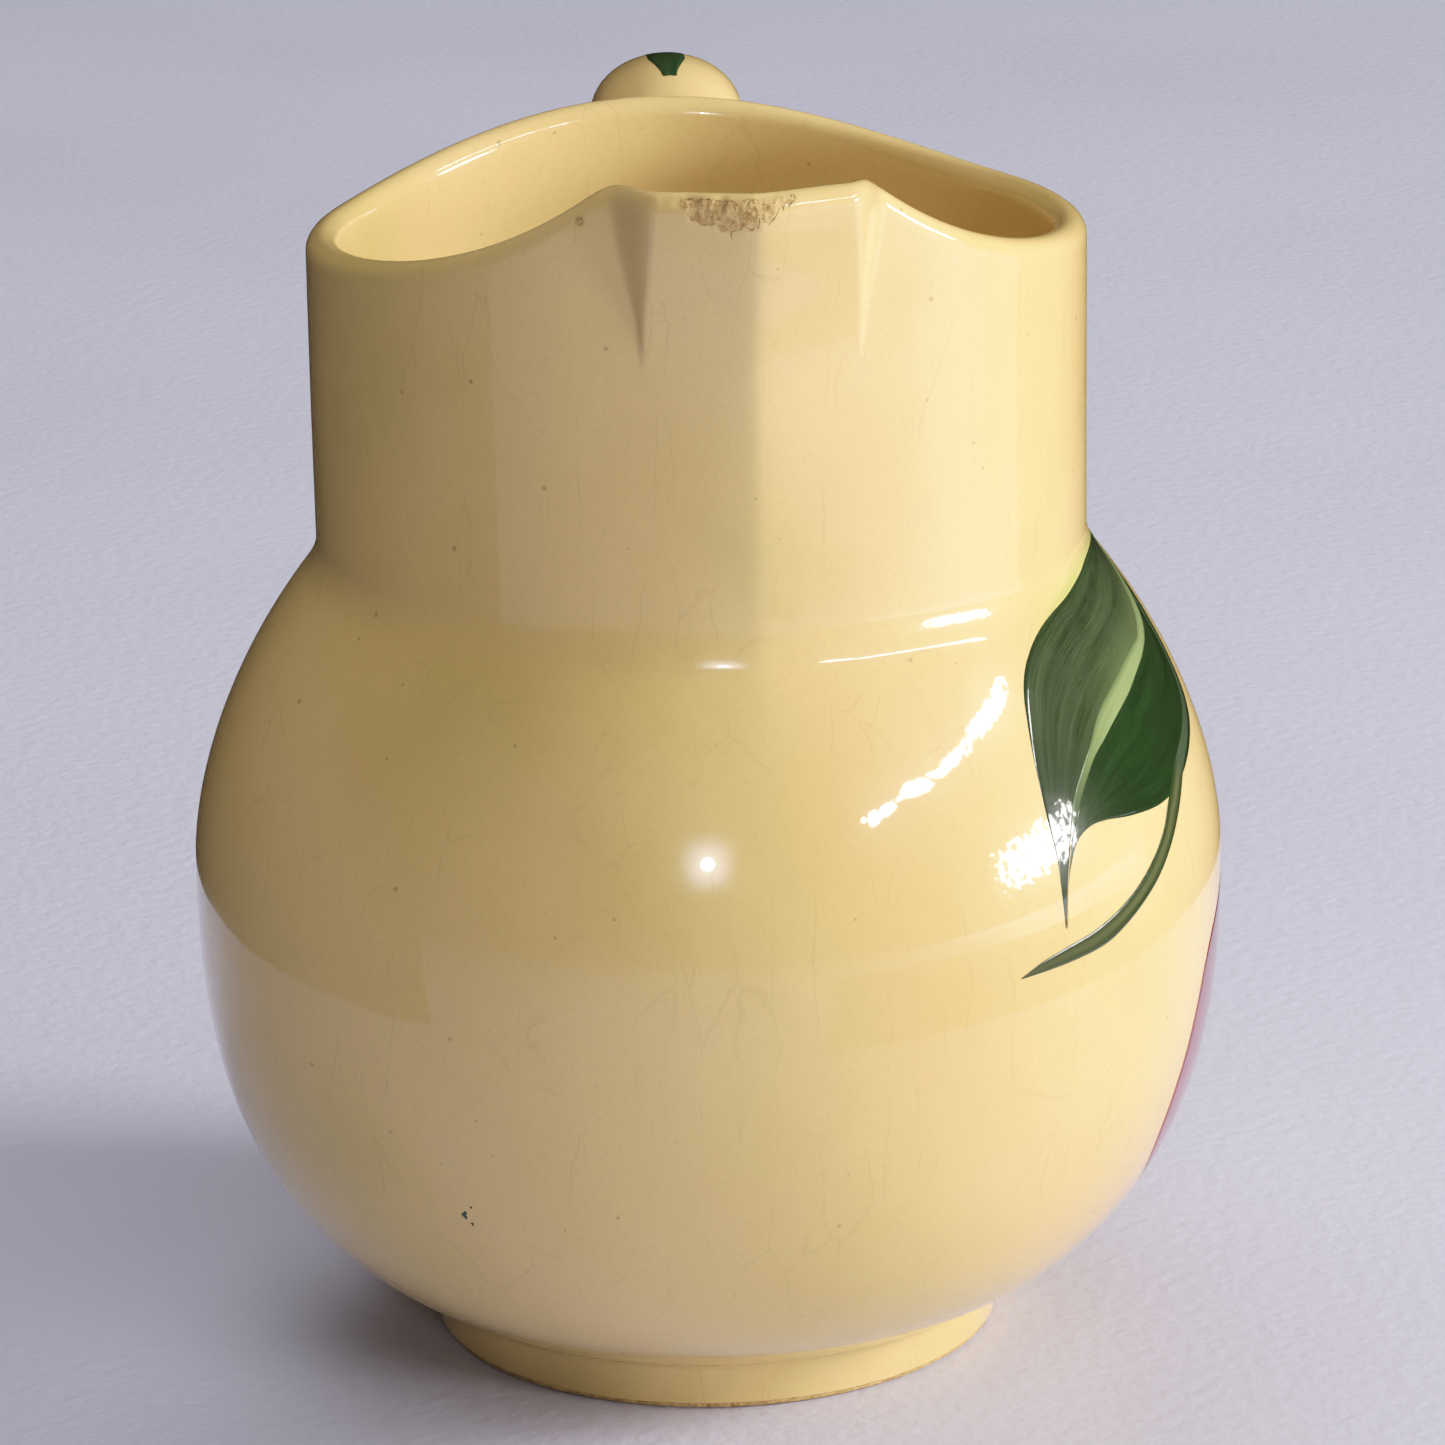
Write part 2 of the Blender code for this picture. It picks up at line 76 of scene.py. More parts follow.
# Clay: the same walls as in the frame.
NECK_RADIUS = 50.0 * MM
WALL = 4.6 * MM
WIDEST_Z = 65.2 * MM
LOWER_POWER = 2.73
UPPER_POWER = 1.75
NECK_BASE_Z = 104.2 * MM
SHOULDER_RADIUS = NECK_RADIUS + 1.2 * MM
SHOULDER_SOFTNESS = 2.4 * MM
FOOT_RADIUS = CREASE_RADIUS - 0.6 * MM
FOOT_HEIGHT = 6.4 * MM
FOOT_WIDTH = 6.2 * MM
FOOT_EDGE = 1.1 * MM
BASE_Z = 3.6 * MM
FLOOR_Z = 9.6 * MM
BOWL_WALL = 4.9 * MM
FLOOR_POWER = 2.6

# Rim: low at the sides, a little higher at the handle, highest at the spout.
RIM_SIDE_Z = 147.6 * MM
RIM_BACK_RISE = 6.5 * MM
RIM_BACK_SPREAD = math.radians(65.0)
RIM_FLAT_LEFT = math.radians(20.5)
RIM_FADE_LEFT = math.radians(25.0)
RIM_FLAT_RIGHT = math.radians(17.2)
RIM_FADE_RIGHT = math.radians(22.5)
RIM_CORNER = math.radians(2.5)

# Spout: a keel that grows up the neck, and near the lip a pinched fold at each side.
SPOUT_TURN = math.radians(4.5)
SPOUT_HALF_ANGLE = math.radians(20.5)
KEEL_PUSH = 3.6 * MM
KEEL_BASE_Z = 92.0 * MM
KEEL_HALF_ANGLE = math.radians(25.0)
KEEL_SOFTNESS = math.radians(1.2)
FOLD_PUSH = 4.4 * MM
FOLD_BASE_Z = 141.0 * MM
FOLD_BASE_ANGLE = math.radians(15.5)
FOLD_INNER_ANGLE = math.radians(12.5)

# How deep the chipped glaze of the lip bites into the clay.
LIP_BITE = 0.55 * MM

# Worn bands of the lip: depth in millimetres, then degrees across from the spout where the band starts,
# how long it takes to reach its depth, where it ends, and how long it takes to run out.
LIP_BANDS = [(3.6, -11.0, 7.0, 5.5, 6.0), (1.5, -17.0, 4.0, 13.5, 9.0)]

# Single chips in the lip: degrees across from the spout, depth below the top, size in millimetres.
LIP_CHIPS = [(-24.0, 4.6, 1.5), (6.6, 2.8, 0.5)]

# Handle: its centre line as millimetres out from the body's axis and up, and its swell at each of them.
HANDLE_PATH = [(45.0, 138.5), (61.5, 148.2), (81.5, 137.0), (84.6, 113.0), (57.0, 83.0)]
HANDLE_SWELL = [1.12, 1.0, 1.0, 1.0, 1.18]
HANDLE_HALF_WIDTH = 10.2 * MM
HANDLE_CROWN = 7.9 * MM
HANDLE_BELLY = 4.8 * MM
HANDLE_FLARE = 1.8 * MM
HANDLE_FLARE_REACH = 6.0 * MM
HANDLE_ROOT = 2.2 * MM

# Hand-made wobble of the clay, only ever inwards.
WOBBLE = 0.35 * MM

# How far the slip stands above the glaze, sinks below it at its border and reaches into it, and how
# wide that border is.
SLIP_LIFT = 0.04 * MM
SLIP_SINK = 0.03 * MM
SLIP_ROOT = 0.4 * MM
SLIP_BORDER = 0.15 * MM

# Brush strokes on the globe: degrees round from the front towards +X, height in millimetres.
LEAF_LEFT_EDGE = [
    (38.2, 69.0), (38.3, 74.2), (38.5, 78.0), (38.4, 82.4), (38.6, 86.0), (39.1, 90.0), (40.0, 93.4),
    (41.5, 96.9), (44.0, 99.6), (48.0, 101.8), (53.5, 103.3), (61.0, 104.3), (68.0, 105.2), (75.0, 106.0),
    (84.0, 106.0), (93.0, 105.0),
]
LEAF_MIDRIB = [
    (38.4, 69.0), (39.3, 74.0), (40.6, 78.0), (42.4, 81.6), (45.2, 84.9), (49.2, 88.2), (53.6, 90.6),
    (59.5, 92.8), (66.5, 94.2), (74.0, 95.3), (80.5, 96.8), (87.0, 100.4), (93.0, 105.0),
]
LEAF_RIGHT_EDGE = [
    (38.6, 69.0), (39.2, 73.6), (40.5, 76.8), (42.2, 79.2), (44.6, 80.3), (47.5, 80.3), (52.5, 79.4),
    (59.5, 78.7), (66.0, 79.4), (73.0, 81.3), (78.6, 83.3), (82.2, 85.6), (84.4, 89.0), (86.2, 93.0),
    (88.6, 98.0), (91.0, 102.0), (93.0, 105.0),
]
VEIN_LEFT_EDGE = [
    (93.0, 105.0), (87.4, 101.2), (80.8, 98.0), (74.8, 96.0), (69.5, 95.6), (65.0, 95.1), (61.0, 94.3),
    (57.8, 93.5), (54.8, 92.6), (52.0, 91.3), (49.4, 89.4), (46.4, 87.2), (43.6, 84.6), (41.6, 81.4),
    (40.2, 78.2),
]
VEIN_RIGHT_EDGE = [
    (93.0, 105.0), (87.8, 100.0), (82.2, 96.4), (77.6, 94.9), (71.8, 93.9), (66.9, 93.1), (62.3, 92.0),
    (58.3, 91.0), (55.0, 90.0), (52.2, 88.9), (49.2, 87.6), (46.2, 85.4), (43.9, 83.0), (41.9, 80.2),
    (40.2, 78.2),
]
WASH_OUTER_EDGE = [
    (44.5, 99.9), (47.6, 102.4), (52.0, 104.4), (57.4, 105.9), (62.0, 107.0), (68.4, 107.9), (76.0, 108.0),
    (84.0, 107.2), (91.0, 105.6),
]
WASH_INNER_EDGE = [
    (44.5, 99.7), (48.4, 101.4), (53.5, 102.6), (57.6, 103.2), (61.6, 103.8), (68.0, 104.6), (75.0, 105.3),
    (84.0, 105.3), (91.0, 104.9),
]
# The stem's last points run on up along the leaf's dark half, where the stroke carries a painted sheen line.
STEM_LEFT_EDGE = [
    (31.6, 64.7), (34.6, 66.1), (38.0, 67.0), (43.0, 68.0), (48.2, 69.8), (53.0, 72.2), (57.8, 75.4),
    (61.4, 78.7), (66.5, 82.0), (74.0, 84.3), (79.6, 86.6), (82.6, 90.6), (84.0, 95.0), (85.8, 99.0),
]
STEM_RIGHT_EDGE = [
    (31.6, 64.5), (38.2, 64.8), (44.0, 65.4), (47.8, 66.7), (52.0, 68.7), (55.6, 70.7), (59.4, 73.4),
    (63.2, 76.4), (68.6, 80.4), (75.2, 82.9), (80.9, 85.9), (83.7, 90.4), (85.0, 95.0), (86.2, 99.0),
]
APPLE_MIDDLE = (88.0, 40.0)
APPLE_LEFT_HALF = [
    (88.0, 59.6), (81.5, 60.8), (74.6, 58.2), (70.0, 54.4), (67.2, 48.8), (65.2, 43.0), (63.4, 37.0),
    (63.0, 31.0), (65.4, 25.6), (71.5, 20.8), (80.5, 18.6), (88.0, 19.4),
]
# Drips: degrees, height and size in the same units.
SPECKS = [(-32.7, 34.9, 0.55), (-31.6, 36.3, 0.22), (-31.9, 33.7, 0.28)]
# Where the handle's stroke starts and ends, as shares of the way along the handle, and its half widths.
HANDLE_STROKE_START = 0.20
HANDLE_STROKE_END = 0.60
HANDLE_STROKE_NARROW = 1.05
HANDLE_STROKE_WIDE = 2.6


# ---------------------------------------------------------------- shape rules

def clamp(value, low=0.0, high=1.0):
    return min(max(value, low), high)


def smooth(value):
    """An ease from 0 to 1."""
    t = clamp(value)
    return t * t * (3.0 - 2.0 * t)


def mix(a, b, share):
    return a + (b - a) * share


def spread(low, high, step):
    """Evenly spaced numbers from low to high, both included, no wider apart than step."""
    count = max(1, math.ceil(abs(high - low) / step))
    return [mix(low, high, i / count) for i in range(count + 1)]


def depth_for(widest, edge, rise, power):
    """Depth of a superellipse of that widest radius that has radius edge at height rise."""
    return rise / (1.0 - (edge / widest) ** power) ** (1.0 / power)


LOWER_DEPTH = depth_for(GLOBE_RADIUS, CREASE_RADIUS, WIDEST_Z - FOOT_HEIGHT, LOWER_POWER)
UPPER_DEPTH = depth_for(GLOBE_RADIUS, SHOULDER_RADIUS, NECK_BASE_Z - WIDEST_Z, UPPER_POWER)
INNER_WIDEST = GLOBE_RADIUS - BOWL_WALL
MOUTH_RADIUS = NECK_RADIUS - WALL
INNER_DEPTH = depth_for(INNER_WIDEST, MOUTH_RADIUS, NECK_BASE_Z - WIDEST_Z, UPPER_POWER)


def swell_radius(z, widest, lower, upper):
    """Radius at a height of a form made of one superellipse below and one above."""
    depth, power = lower if z < WIDEST_Z else upper
    share = min(abs(z - WIDEST_Z) / depth, 1.0)
    return widest * (1.0 - share ** power) ** (1.0 / power)


def softest(a, b, width):
    """The larger of two numbers, rounded where they are closer together than width."""
    near = max(width - abs(a - b), 0.0) / width
    return max(a, b) + near * near * width / 4.0


def outer_radius(z):
    """Outer radius of the turned clay between the foot and the lip."""
    globe = swell_radius(z, GLOBE_RADIUS, (LOWER_DEPTH, LOWER_POWER), (UPPER_DEPTH, UPPER_POWER))
    if z < WIDEST_Z:
        return globe
    return softest(globe, NECK_RADIUS, SHOULDER_SOFTNESS)


def inner_radius(z):
    """Inner radius of the turned clay above the floor."""
    floor = (WIDEST_Z - FLOOR_Z, FLOOR_POWER)
    globe = swell_radius(z, INNER_WIDEST, floor, (INNER_DEPTH, UPPER_POWER))
    if z < WIDEST_Z:
        return globe
    return softest(globe, MOUTH_RADIUS, 2.0 * SHOULDER_SOFTNESS)


def rim_height(angle):
    """Height of the rim's crest at an angle from the spout."""
    away = abs(angle)
    flat, fade = (RIM_FLAT_RIGHT, RIM_FADE_RIGHT) if angle > 0.0 else (RIM_FLAT_LEFT, RIM_FADE_LEFT)
    past_spout = (away - flat + math.hypot(away - flat, RIM_CORNER)) / 2.0
    front = (HEIGHT - RIM_SIDE_Z) * math.exp(-past_spout / fade)
    from_back = min((math.pi - away) / RIM_BACK_SPREAD, 1.0)
    back = RIM_BACK_RISE * (1.0 + math.cos(math.pi * from_back)) / 2.0
    return RIM_SIDE_Z + front + back


def spout_push(angle, z):
    """How far the spout stands out of the neck's circle."""
    away = abs(angle)
    up = clamp((z - KEEL_BASE_Z) / (HEIGHT - KEEL_BASE_Z))
    soft_away = math.hypot(angle, KEEL_SOFTNESS)
    flank = max(0.0, 1.0 - soft_away / KEEL_HALF_ANGLE)
    keel = KEEL_PUSH * up * flank * flank
    pinch = smooth((z - FOLD_BASE_Z) / (HEIGHT - FOLD_BASE_Z))
    outer = mix(FOLD_BASE_ANGLE, SPOUT_HALF_ANGLE, pinch)
    inner = mix(FOLD_BASE_ANGLE, FOLD_INNER_ANGLE, pinch)
    across = smooth((outer - away) / max(outer - inner, 0.001))
    return keel + FOLD_PUSH * pinch * across


def wrapped(angle):
    return (angle + math.pi) % math.tau - math.pi


def wobble(point):
    """Slow unevenness of hand-finished clay, from 0 to 1."""
    slow = noise.noise(point * 22.0 + Vector((3.1, 7.7, 1.3)))
    return clamp(0.5 + 0.5 * slow)


def clay_point(angle, z, radius):
    """A point of the clay: angle from the front towards +X, height before the rim is lifted."""
    from_spout = wrapped(angle - SPOUT_TURN)
    base = NECK_BASE_Z
    share = clamp((z - base) / (RIM_SIDE_Z - WALL - base))
    lifted = z + share * (rim_height(from_spout) - RIM_SIDE_Z)
    reach = radius + spout_push(from_spout, lifted) if radius > MOUTH_RADIUS / 2.0 else radius
    point = Vector((reach * math.sin(angle), -reach * math.cos(angle), lifted))
    inward = WOBBLE * wobble(point) * smooth(z / FOOT_HEIGHT - 0.5)
    if reach > 0.0:
        point.x *= 1.0 - inward / max(reach, MOUTH_RADIUS)
        point.y *= 1.0 - inward / max(reach, MOUTH_RADIUS)
    return AXIS + point


def skin_point(angle, z, lift=0.0):
    """A point on the outer skin, or off it by the lift along its normal."""
    here = clay_point(angle, z, outer_radius(z))
    if lift == 0.0:
        return here
    step = 0.2 * MM
    turn = step / GLOBE_RADIUS
    along = clay_point(angle + turn, z, outer_radius(z)) - here
    up = clay_point(angle, z + step, outer_radius(z + step)) - here
    return here + along.cross(up).normalized() * lift


# ---------------------------------------------------------------- meshes

def add_object(name, data):
    made = bpy.data.objects.new(name, data)
    bpy.context.scene.collection.objects.link(made)
    return made


def add_mesh(name, points, faces, surface, rounded=True):
    """A mesh object at the frame's origin, smooth-shaded where it is rounded."""
    mesh = bpy.data.meshes.new(name)
    mesh.from_pydata(points, [], faces)
    mesh.validate()
    if rounded:
        mesh.shade_smooth()
    mesh.materials.append(surface)
    return add_object(name, mesh)


def ring_faces(rows, columns, first_pole, last_pole):
    """Faces of rows of closed rings, with a pole at each end."""
    faces = []
    for i in range(rows - 1):
        for j in range(columns):
            k = (j + 1) % columns
            faces.append((i * columns + j, i * columns + k, (i + 1) * columns + k, (i + 1) * columns + j))
    for j in range(columns):
        k = (j + 1) % columns
        faces.append((first_pole, k, j))
        last = (rows - 1) * columns
        faces.append((last_pole, last + j, last + k))
    return faces


def store(obj, name, values):
    """Save one number for each point of a mesh, for the material to read."""
    layer = obj.data.attributes.new(name, "FLOAT", "POINT")
    layer.data.foreach_set("value", values)


# ---------------------------------------------------------------- body

# What the clay's material reads from each point of the body and the handle: worn glaze at the lip and the
# foot, and in the spout's folds pooled glaze with painted shade.
WEAR_AND_SHADE_LAYERS = ("lip_wear", "foot_wear", "fold_pool_and_shade")


def body_columns():
    """Angles from the front: close together across the spout and wider apart elsewhere."""
    near = math.radians(27.0)
    fine = spread(-near, near, math.radians(0.4))
    coarse = spread(near, math.tau - near, math.radians(1.0))[1:-1]
    return [SPOUT_TURN + a for a in fine + coarse]


def rings(radius_at, start, *stretches):
    """Rings up or down from a height, where each stretch says its end and the step that leads there."""
    made = []
    for end, step in stretches:
        made += [(z, radius_at(z)) for z in spread(start, end, step)[1:]]
        start = end
    return made


def body_rows():
    """Rings of the clay as (height, radius): up the inside, over the lip and down the outside."""
    lip = WALL / 2.0
    lip_z = RIM_SIDE_Z - lip
    inside = []
    for turn in spread(0.06, math.pi / 2.0, 0.05):
        radius = INNER_WIDEST * math.sin(turn) ** (2.0 / FLOOR_POWER)
        drop = (WIDEST_Z - FLOOR_Z) * math.cos(turn) ** (2.0 / FLOOR_POWER)
        inside.append((WIDEST_Z - drop, radius))
    inside[-1] = (WIDEST_Z, INNER_WIDEST)
    inside += rings(inner_radius, WIDEST_Z, (NECK_BASE_Z - 4.0 * MM, 2.5 * MM),
                    (NECK_BASE_Z + 8.0 * MM, 0.8 * MM), (lip_z, 1.4 * MM))
    over = []
    for turn in spread(math.pi, 0.0, math.radians(15.0))[1:]:
        over.append((lip_z + lip * math.sin(turn), NECK_RADIUS - lip + lip * math.cos(turn)))
    crease = FOOT_HEIGHT + 0.5 * MM
    outside = rings(outer_radius, lip_z, (NECK_BASE_Z + 6.0 * MM, 0.8 * MM),
                    (NECK_BASE_Z - 5.0 * MM, 0.4 * MM), (20.0 * MM, 1.3 * MM), (crease, 0.6 * MM))
    return inside + over + outside + foot_rows(outer_radius(crease), crease)


def foot_rows(top_radius, top_z):
    """Rings round the foot: a soft crease, the side, the resting edge and the recess."""
    inner = FOOT_RADIUS - FOOT_WIDTH
    rows = [(top_z - 0.35 * MM, top_radius - 0.45 * MM)]
    for drop, inset in ((0.8, 0.05), (1.4, 0.1), (2.4, 0.15), (3.6, 0.3)):
        rows.append((top_z - drop * MM, CREASE_RADIUS - inset * MM))
    for turn in spread(0.0, math.pi / 2.0, math.radians(15.0)):
        rows.append((FOOT_EDGE * (1.0 - math.sin(turn)), FOOT_RADIUS - FOOT_EDGE * (1.0 - math.cos(turn))))
    for turn in spread(math.pi / 2.0, 0.0, math.radians(18.0)):
        rows.append((FOOT_EDGE * (1.0 - math.sin(turn)), inner + FOOT_EDGE * (1.0 - math.cos(turn))))
    rows.append((BASE_Z - 1.2 * MM, inner))
    for turn in spread(0.0, math.pi / 2.0, math.radians(18.0)):
        fillet = 1.2 * MM
        rows.append((BASE_Z - fillet * (1.0 - math.sin(turn)), inner - fillet * (1.0 - math.cos(turn))))
    for share in (0.85, 0.7, 0.5, 0.3, 0.1):
        rows.append((BASE_Z, inner * share))
    return rows


def lip_wear(angle, z):
    """Where the glaze has chipped off the front of the spout's lip, from 0 to 1."""
    across = math.degrees(wrapped(angle - SPOUT_TURN))
    below = (HEIGHT - z) / MM
    ragged = 1.0 + 0.5 * noise.noise(Vector((across * 0.55, 4.2, 0.0)))
    ragged += 0.3 * noise.noise(Vector((across * 1.9, 0.0, 1.0)))
    reach = 0.0
    for depth, start, rise, end, fall in LIP_BANDS:
        reach += depth * smooth((across - start) / rise) * smooth((end - across) / fall)
    worn = smooth((reach * ragged - below) / 1.6) * smooth((below + 0.2) / 1.1)
    for spot_across, spot_below, size in LIP_CHIPS:
        distance = math.hypot((across - spot_across) * 0.95, below - spot_below)
        worn = max(worn, smooth((size - distance) / size))
    return worn


def fold_pool_and_shade(angle, z):
    """Where the glaze pools pinkish brown in the two pinched folds, with painted shade darkening those
    creases, from 0 to 1.
    """
    from_spout = wrapped(angle - SPOUT_TURN)
    away = abs(from_spout)
    pinch = smooth((z - FOLD_BASE_Z) / (HEIGHT - FOLD_BASE_Z))
    outer = mix(FOLD_BASE_ANGLE, SPOUT_HALF_ANGLE, pinch) + math.radians(0.6)
    inner = mix(FOLD_BASE_ANGLE, FOLD_INNER_ANGLE, pinch) - math.radians(0.6)
    across = clamp((outer - away) / max(outer - inner, 0.001))
    band = smooth(across / 0.35) * smooth((1.0 - across) / 0.12)
    return band * smooth((z - FOLD_BASE_Z + 3.0 * MM) / (6.0 * MM))


def foot_wear(z, radius):
    """Where the foot's resting edge is bare, from 0 to 1."""
    outside = smooth((radius - (FOOT_RADIUS - FOOT_WIDTH - 1.0 * MM)) / (0.6 * MM))
    return outside * smooth((1.3 * MM - z) / (0.7 * MM))


def make_body(surface):
    columns = body_columns()
    rows = body_rows()
    points = []
    # The fold layer holds pooled glaze and painted shade, not wear.
    wear = {name: [] for name in WEAR_AND_SHADE_LAYERS}
    for z, radius in rows:
        for angle in columns:
            point = clay_point(angle, z, radius)
            worn = lip_wear(angle, point.z) if radius > NECK_RADIUS - WALL * 0.45 else 0.0
            if worn > 0.0:
                rough = noise.noise(point * 520.0) + 0.6 * noise.noise(point * 1300.0)
                bite = worn * clamp(0.35 + 0.8 * rough)
                point = point - Vector((0.0, -0.7, 0.7)) * (LIP_BITE * bite)
            points.append(point)
            wear["lip_wear"].append(worn)
            wear["foot_wear"].append(foot_wear(point.z, radius))
            wear["fold_pool_and_shade"].append(fold_pool_and_shade(angle, point.z))
    first_pole = len(points)
    points.append(AXIS + Vector((0.0, 0.0, FLOOR_Z)))
    last_pole = len(points)
    points.append(AXIS + Vector((0.0, 0.0, BASE_Z)))
    faces = ring_faces(len(rows), len(columns), first_pole, last_pole)
    body = add_mesh("glazed_body", points, faces, surface)
    for name in WEAR_AND_SHADE_LAYERS:
        store(body, name, wear[name] + [0.0, 0.0])
    return body


# ---------------------------------------------------------------- handle

def bezier_path(knots, steps):
    """Points of a smooth curve through the knots, with Blender's own automatic handles."""
    curve = bpy.data.curves.new("path", "CURVE")
    curve.dimensions = "3D"
    curve.resolution_u = steps
    spline = curve.splines.new("BEZIER")
    spline.bezier_points.add(len(knots) - 1)
    for point, (y, z) in zip(spline.bezier_points, knots):
        point.co = (0.0, y * MM, z * MM)
        point.handle_left_type = "AUTO"
        point.handle_right_type = "AUTO"
    obj = add_object("path", curve)
    graph = bpy.context.evaluated_depsgraph_get()
    graph.update()
    made = obj.evaluated_get(graph)
    line = [vertex.co.copy() for vertex in made.to_mesh().vertices]
    made.to_mesh_clear()
    bpy.data.objects.remove(obj, do_unlink=True)
    bpy.data.curves.remove(curve)
    return line


HANDLE_STEPS = 24
HANDLE_LINE = bezier_path(HANDLE_PATH, HANDLE_STEPS)


def handle_frame(place):
    """Centre, outward direction and swell at a place from 0 to 1 along the handle."""
    last = len(HANDLE_LINE) - 1
    at = clamp(place) * last
    i = min(int(at), last - 1)
    centre = HANDLE_LINE[i].lerp(HANDLE_LINE[i + 1], at - i)
    before = HANDLE_LINE[max(i - 1, 0)].lerp(HANDLE_LINE[i], at - i)
    after = HANDLE_LINE[min(i + 1, last)].lerp(HANDLE_LINE[min(i + 2, last)], at - i)
    along = (after - before).normalized()
    out = Vector((0.0, -along.z, along.y))
    knot = at / HANDLE_STEPS
    k = min(int(knot), len(HANDLE_SWELL) - 2)
    swell = mix(HANDLE_SWELL[k], HANDLE_SWELL[k + 1], smooth(knot - k))
    return centre, out, swell


def skin_gap(point):
    """How far a point, from the body's axis, stands off the outer skin, level with it."""
    angle = math.atan2(point.x, -point.y)
    skin = clay_point(angle, min(point.z, RIM_SIDE_Z - WALL), outer_radius(point.z)) - AXIS
    return math.hypot(point.x, point.y) - math.hypot(skin.x, skin.y)


def handle_point(place, turn, lift=0.0):
    """A point of the handle's skin: turn runs round the strap from its right edge."""
    centre, out, swell = handle_frame(place)
    height = HANDLE_CROWN if math.sin(turn) > 0.0 else HANDLE_BELLY
    across = HANDLE_HALF_WIDTH * math.cos(turn)
    radial = Vector((across, 0.0, 0.0)) + out * (height * math.sin(turn))
    point = centre + radial * swell
    outward = radial.normalized()
    under_rim = smooth((RIM_SIDE_Z + RIM_BACK_RISE - 3.0 * MM - point.z) / (10.0 * MM))
    flare = clamp(1.0 - skin_gap(point) / HANDLE_FLARE_REACH) * under_rim
    point = point + outward * (HANDLE_FLARE * flare * flare)
    gap = skin_gap(point)
    if gap < -HANDLE_ROOT:
        level = math.hypot(point.x, point.y)
        scale = (level - gap - HANDLE_ROOT) / level
        point = Vector((point.x * scale, point.y * scale, point.z))
    normal = Vector((math.cos(turn) / HANDLE_HALF_WIDTH, 0.0, 0.0)) + out * (math.sin(turn) / height)
    return AXIS + point + normal.normalized() * lift


def make_handle(surface):
    sides = 56
    places = spread(0.0, 1.0, 0.008)
    points = []
    for place in places:
        for j in range(sides):
            points.append(handle_point(place, math.tau * j / sides))
    first_pole = len(points)
    points.append(sum((points[j] for j in range(sides)), Vector()) / sides)
    last_pole = len(points)
    points.append(sum(points[-1 - sides:-1], Vector()) / sides)
    faces = ring_faces(len(places), sides, first_pole, last_pole)
    handle = add_mesh("glazed_handle", points, faces, surface)
    for name in WEAR_AND_SHADE_LAYERS:
        store(handle, name, [0.0] * len(points))
    return handle


# ---------------------------------------------------------------- slip decoration

def along_curve(knots, count):
    """Evenly spaced points of a smooth curve through the knots."""
    ends = [knots[0]] + list(knots) + [knots[-1]]
    dense = []
    for i in range(1, len(ends) - 2):
        a, b, c, d = (Vector(knot) for knot in ends[i - 1:i + 3])
        for step in range(12):
            t = step / 12.0
            dense.append(0.5 * (2.0 * b + (c - a) * t + (2.0 * a - 5.0 * b + 4.0 * c - d) * t ** 2
                                + (3.0 * b - a - 3.0 * c + d) * t ** 3))
    dense.append(Vector(knots[-1]))
    reach = [0.0]
    for a, b in zip(dense, dense[1:]):
        reach.append(reach[-1] + (b - a).length)
    points = []
    i = 0
    for k in range(count):
        want = reach[-1] * k / (count - 1)
        while i < len(reach) - 2 and reach[i + 1] < want:
            i += 1
        share = (want - reach[i]) / max(reach[i + 1] - reach[i], 1e-9)
        points.append(dense[i].lerp(dense[i + 1], clamp(share)))
    return points


def on_globe(spot, lift):
    return skin_point(math.radians(spot[0]), spot[1] * MM, lift)


def slip_pad(name, grid, place, surface, lift=SLIP_LIFT):
    """A thin closed pad of slip: grid rows hold (spot, along, across), place puts a spot in space."""
    rows, columns = len(grid), len(grid[0])
    points = []
    along = []
    across = []
    for layer in (0, 1):
        for i, row in enumerate(grid):
            for j, (spot, u, v) in enumerate(row):
                border = i in (0, rows - 1) or j in (0, columns - 1)
                top = -SLIP_SINK if border else lift
                points.append(place(spot, top if layer == 0 else -SLIP_ROOT))
                along.append(u)
                across.append(v)
    faces = []
    under = rows * columns
    for i in range(rows - 1):
        for j in range(columns - 1):
            a, b = i * columns + j, (i + 1) * columns + j
            faces.append((a, a + 1, b + 1, b))
            faces.append((under + a, under + b, under + b + 1, under + a + 1))
    border = list(range(columns))
    border += [i * columns + columns - 1 for i in range(1, rows)]
    border += [(rows - 1) * columns + j for j in range(columns - 2, -1, -1)]
    border += [i * columns for i in range(rows - 2, 0, -1)]
    for a, b in zip(border, border[1:] + border[:1]):
        faces.append((b, a, under + a, under + b))
    return finish_pad(add_mesh(name, points, faces, surface), along, across)


def finish_pad(pad, along, across):
    """Save where each point lies, weld the points that meet at the tips, and turn every face outwards."""
    store(pad, "along", along)
    store(pad, "across", across)
    shape = bmesh.new()
    shape.from_mesh(pad.data)
    bmesh.ops.remove_doubles(shape, verts=shape.verts, dist=0.000002)
    bmesh.ops.recalc_face_normals(shape, faces=shape.faces)
    shape.to_mesh(pad.data)
    shape.free()
    pad.data.shade_smooth()
    return pad


def ruled_grid(left_edge, right_edge, length_steps, width_steps):
    """Rows across a stroke from one edge to the other, with a narrow border at each side."""
    left = along_curve(left_edge, length_steps + 1)
    right = along_curve(right_edge, length_steps + 1)
    ends = 0.004
    grid = []
    for i in range(length_steps + 1):
        u = i / length_steps
        width = math.hypot(math.radians(left[i].x - right[i].x) * GLOBE_RADIUS, (left[i].y - right[i].y) * MM)
        edge = clamp(SLIP_BORDER / max(width, 0.0001), 0.01, 0.3)
        shares = [0.0] + [mix(edge, 1.0 - edge, j / width_steps) for j in range(width_steps + 1)] + [1.0]
        grid.append([(left[i].lerp(right[i], v), mix(ends, 1.0 - ends, u), v) for v in shares])
    return grid


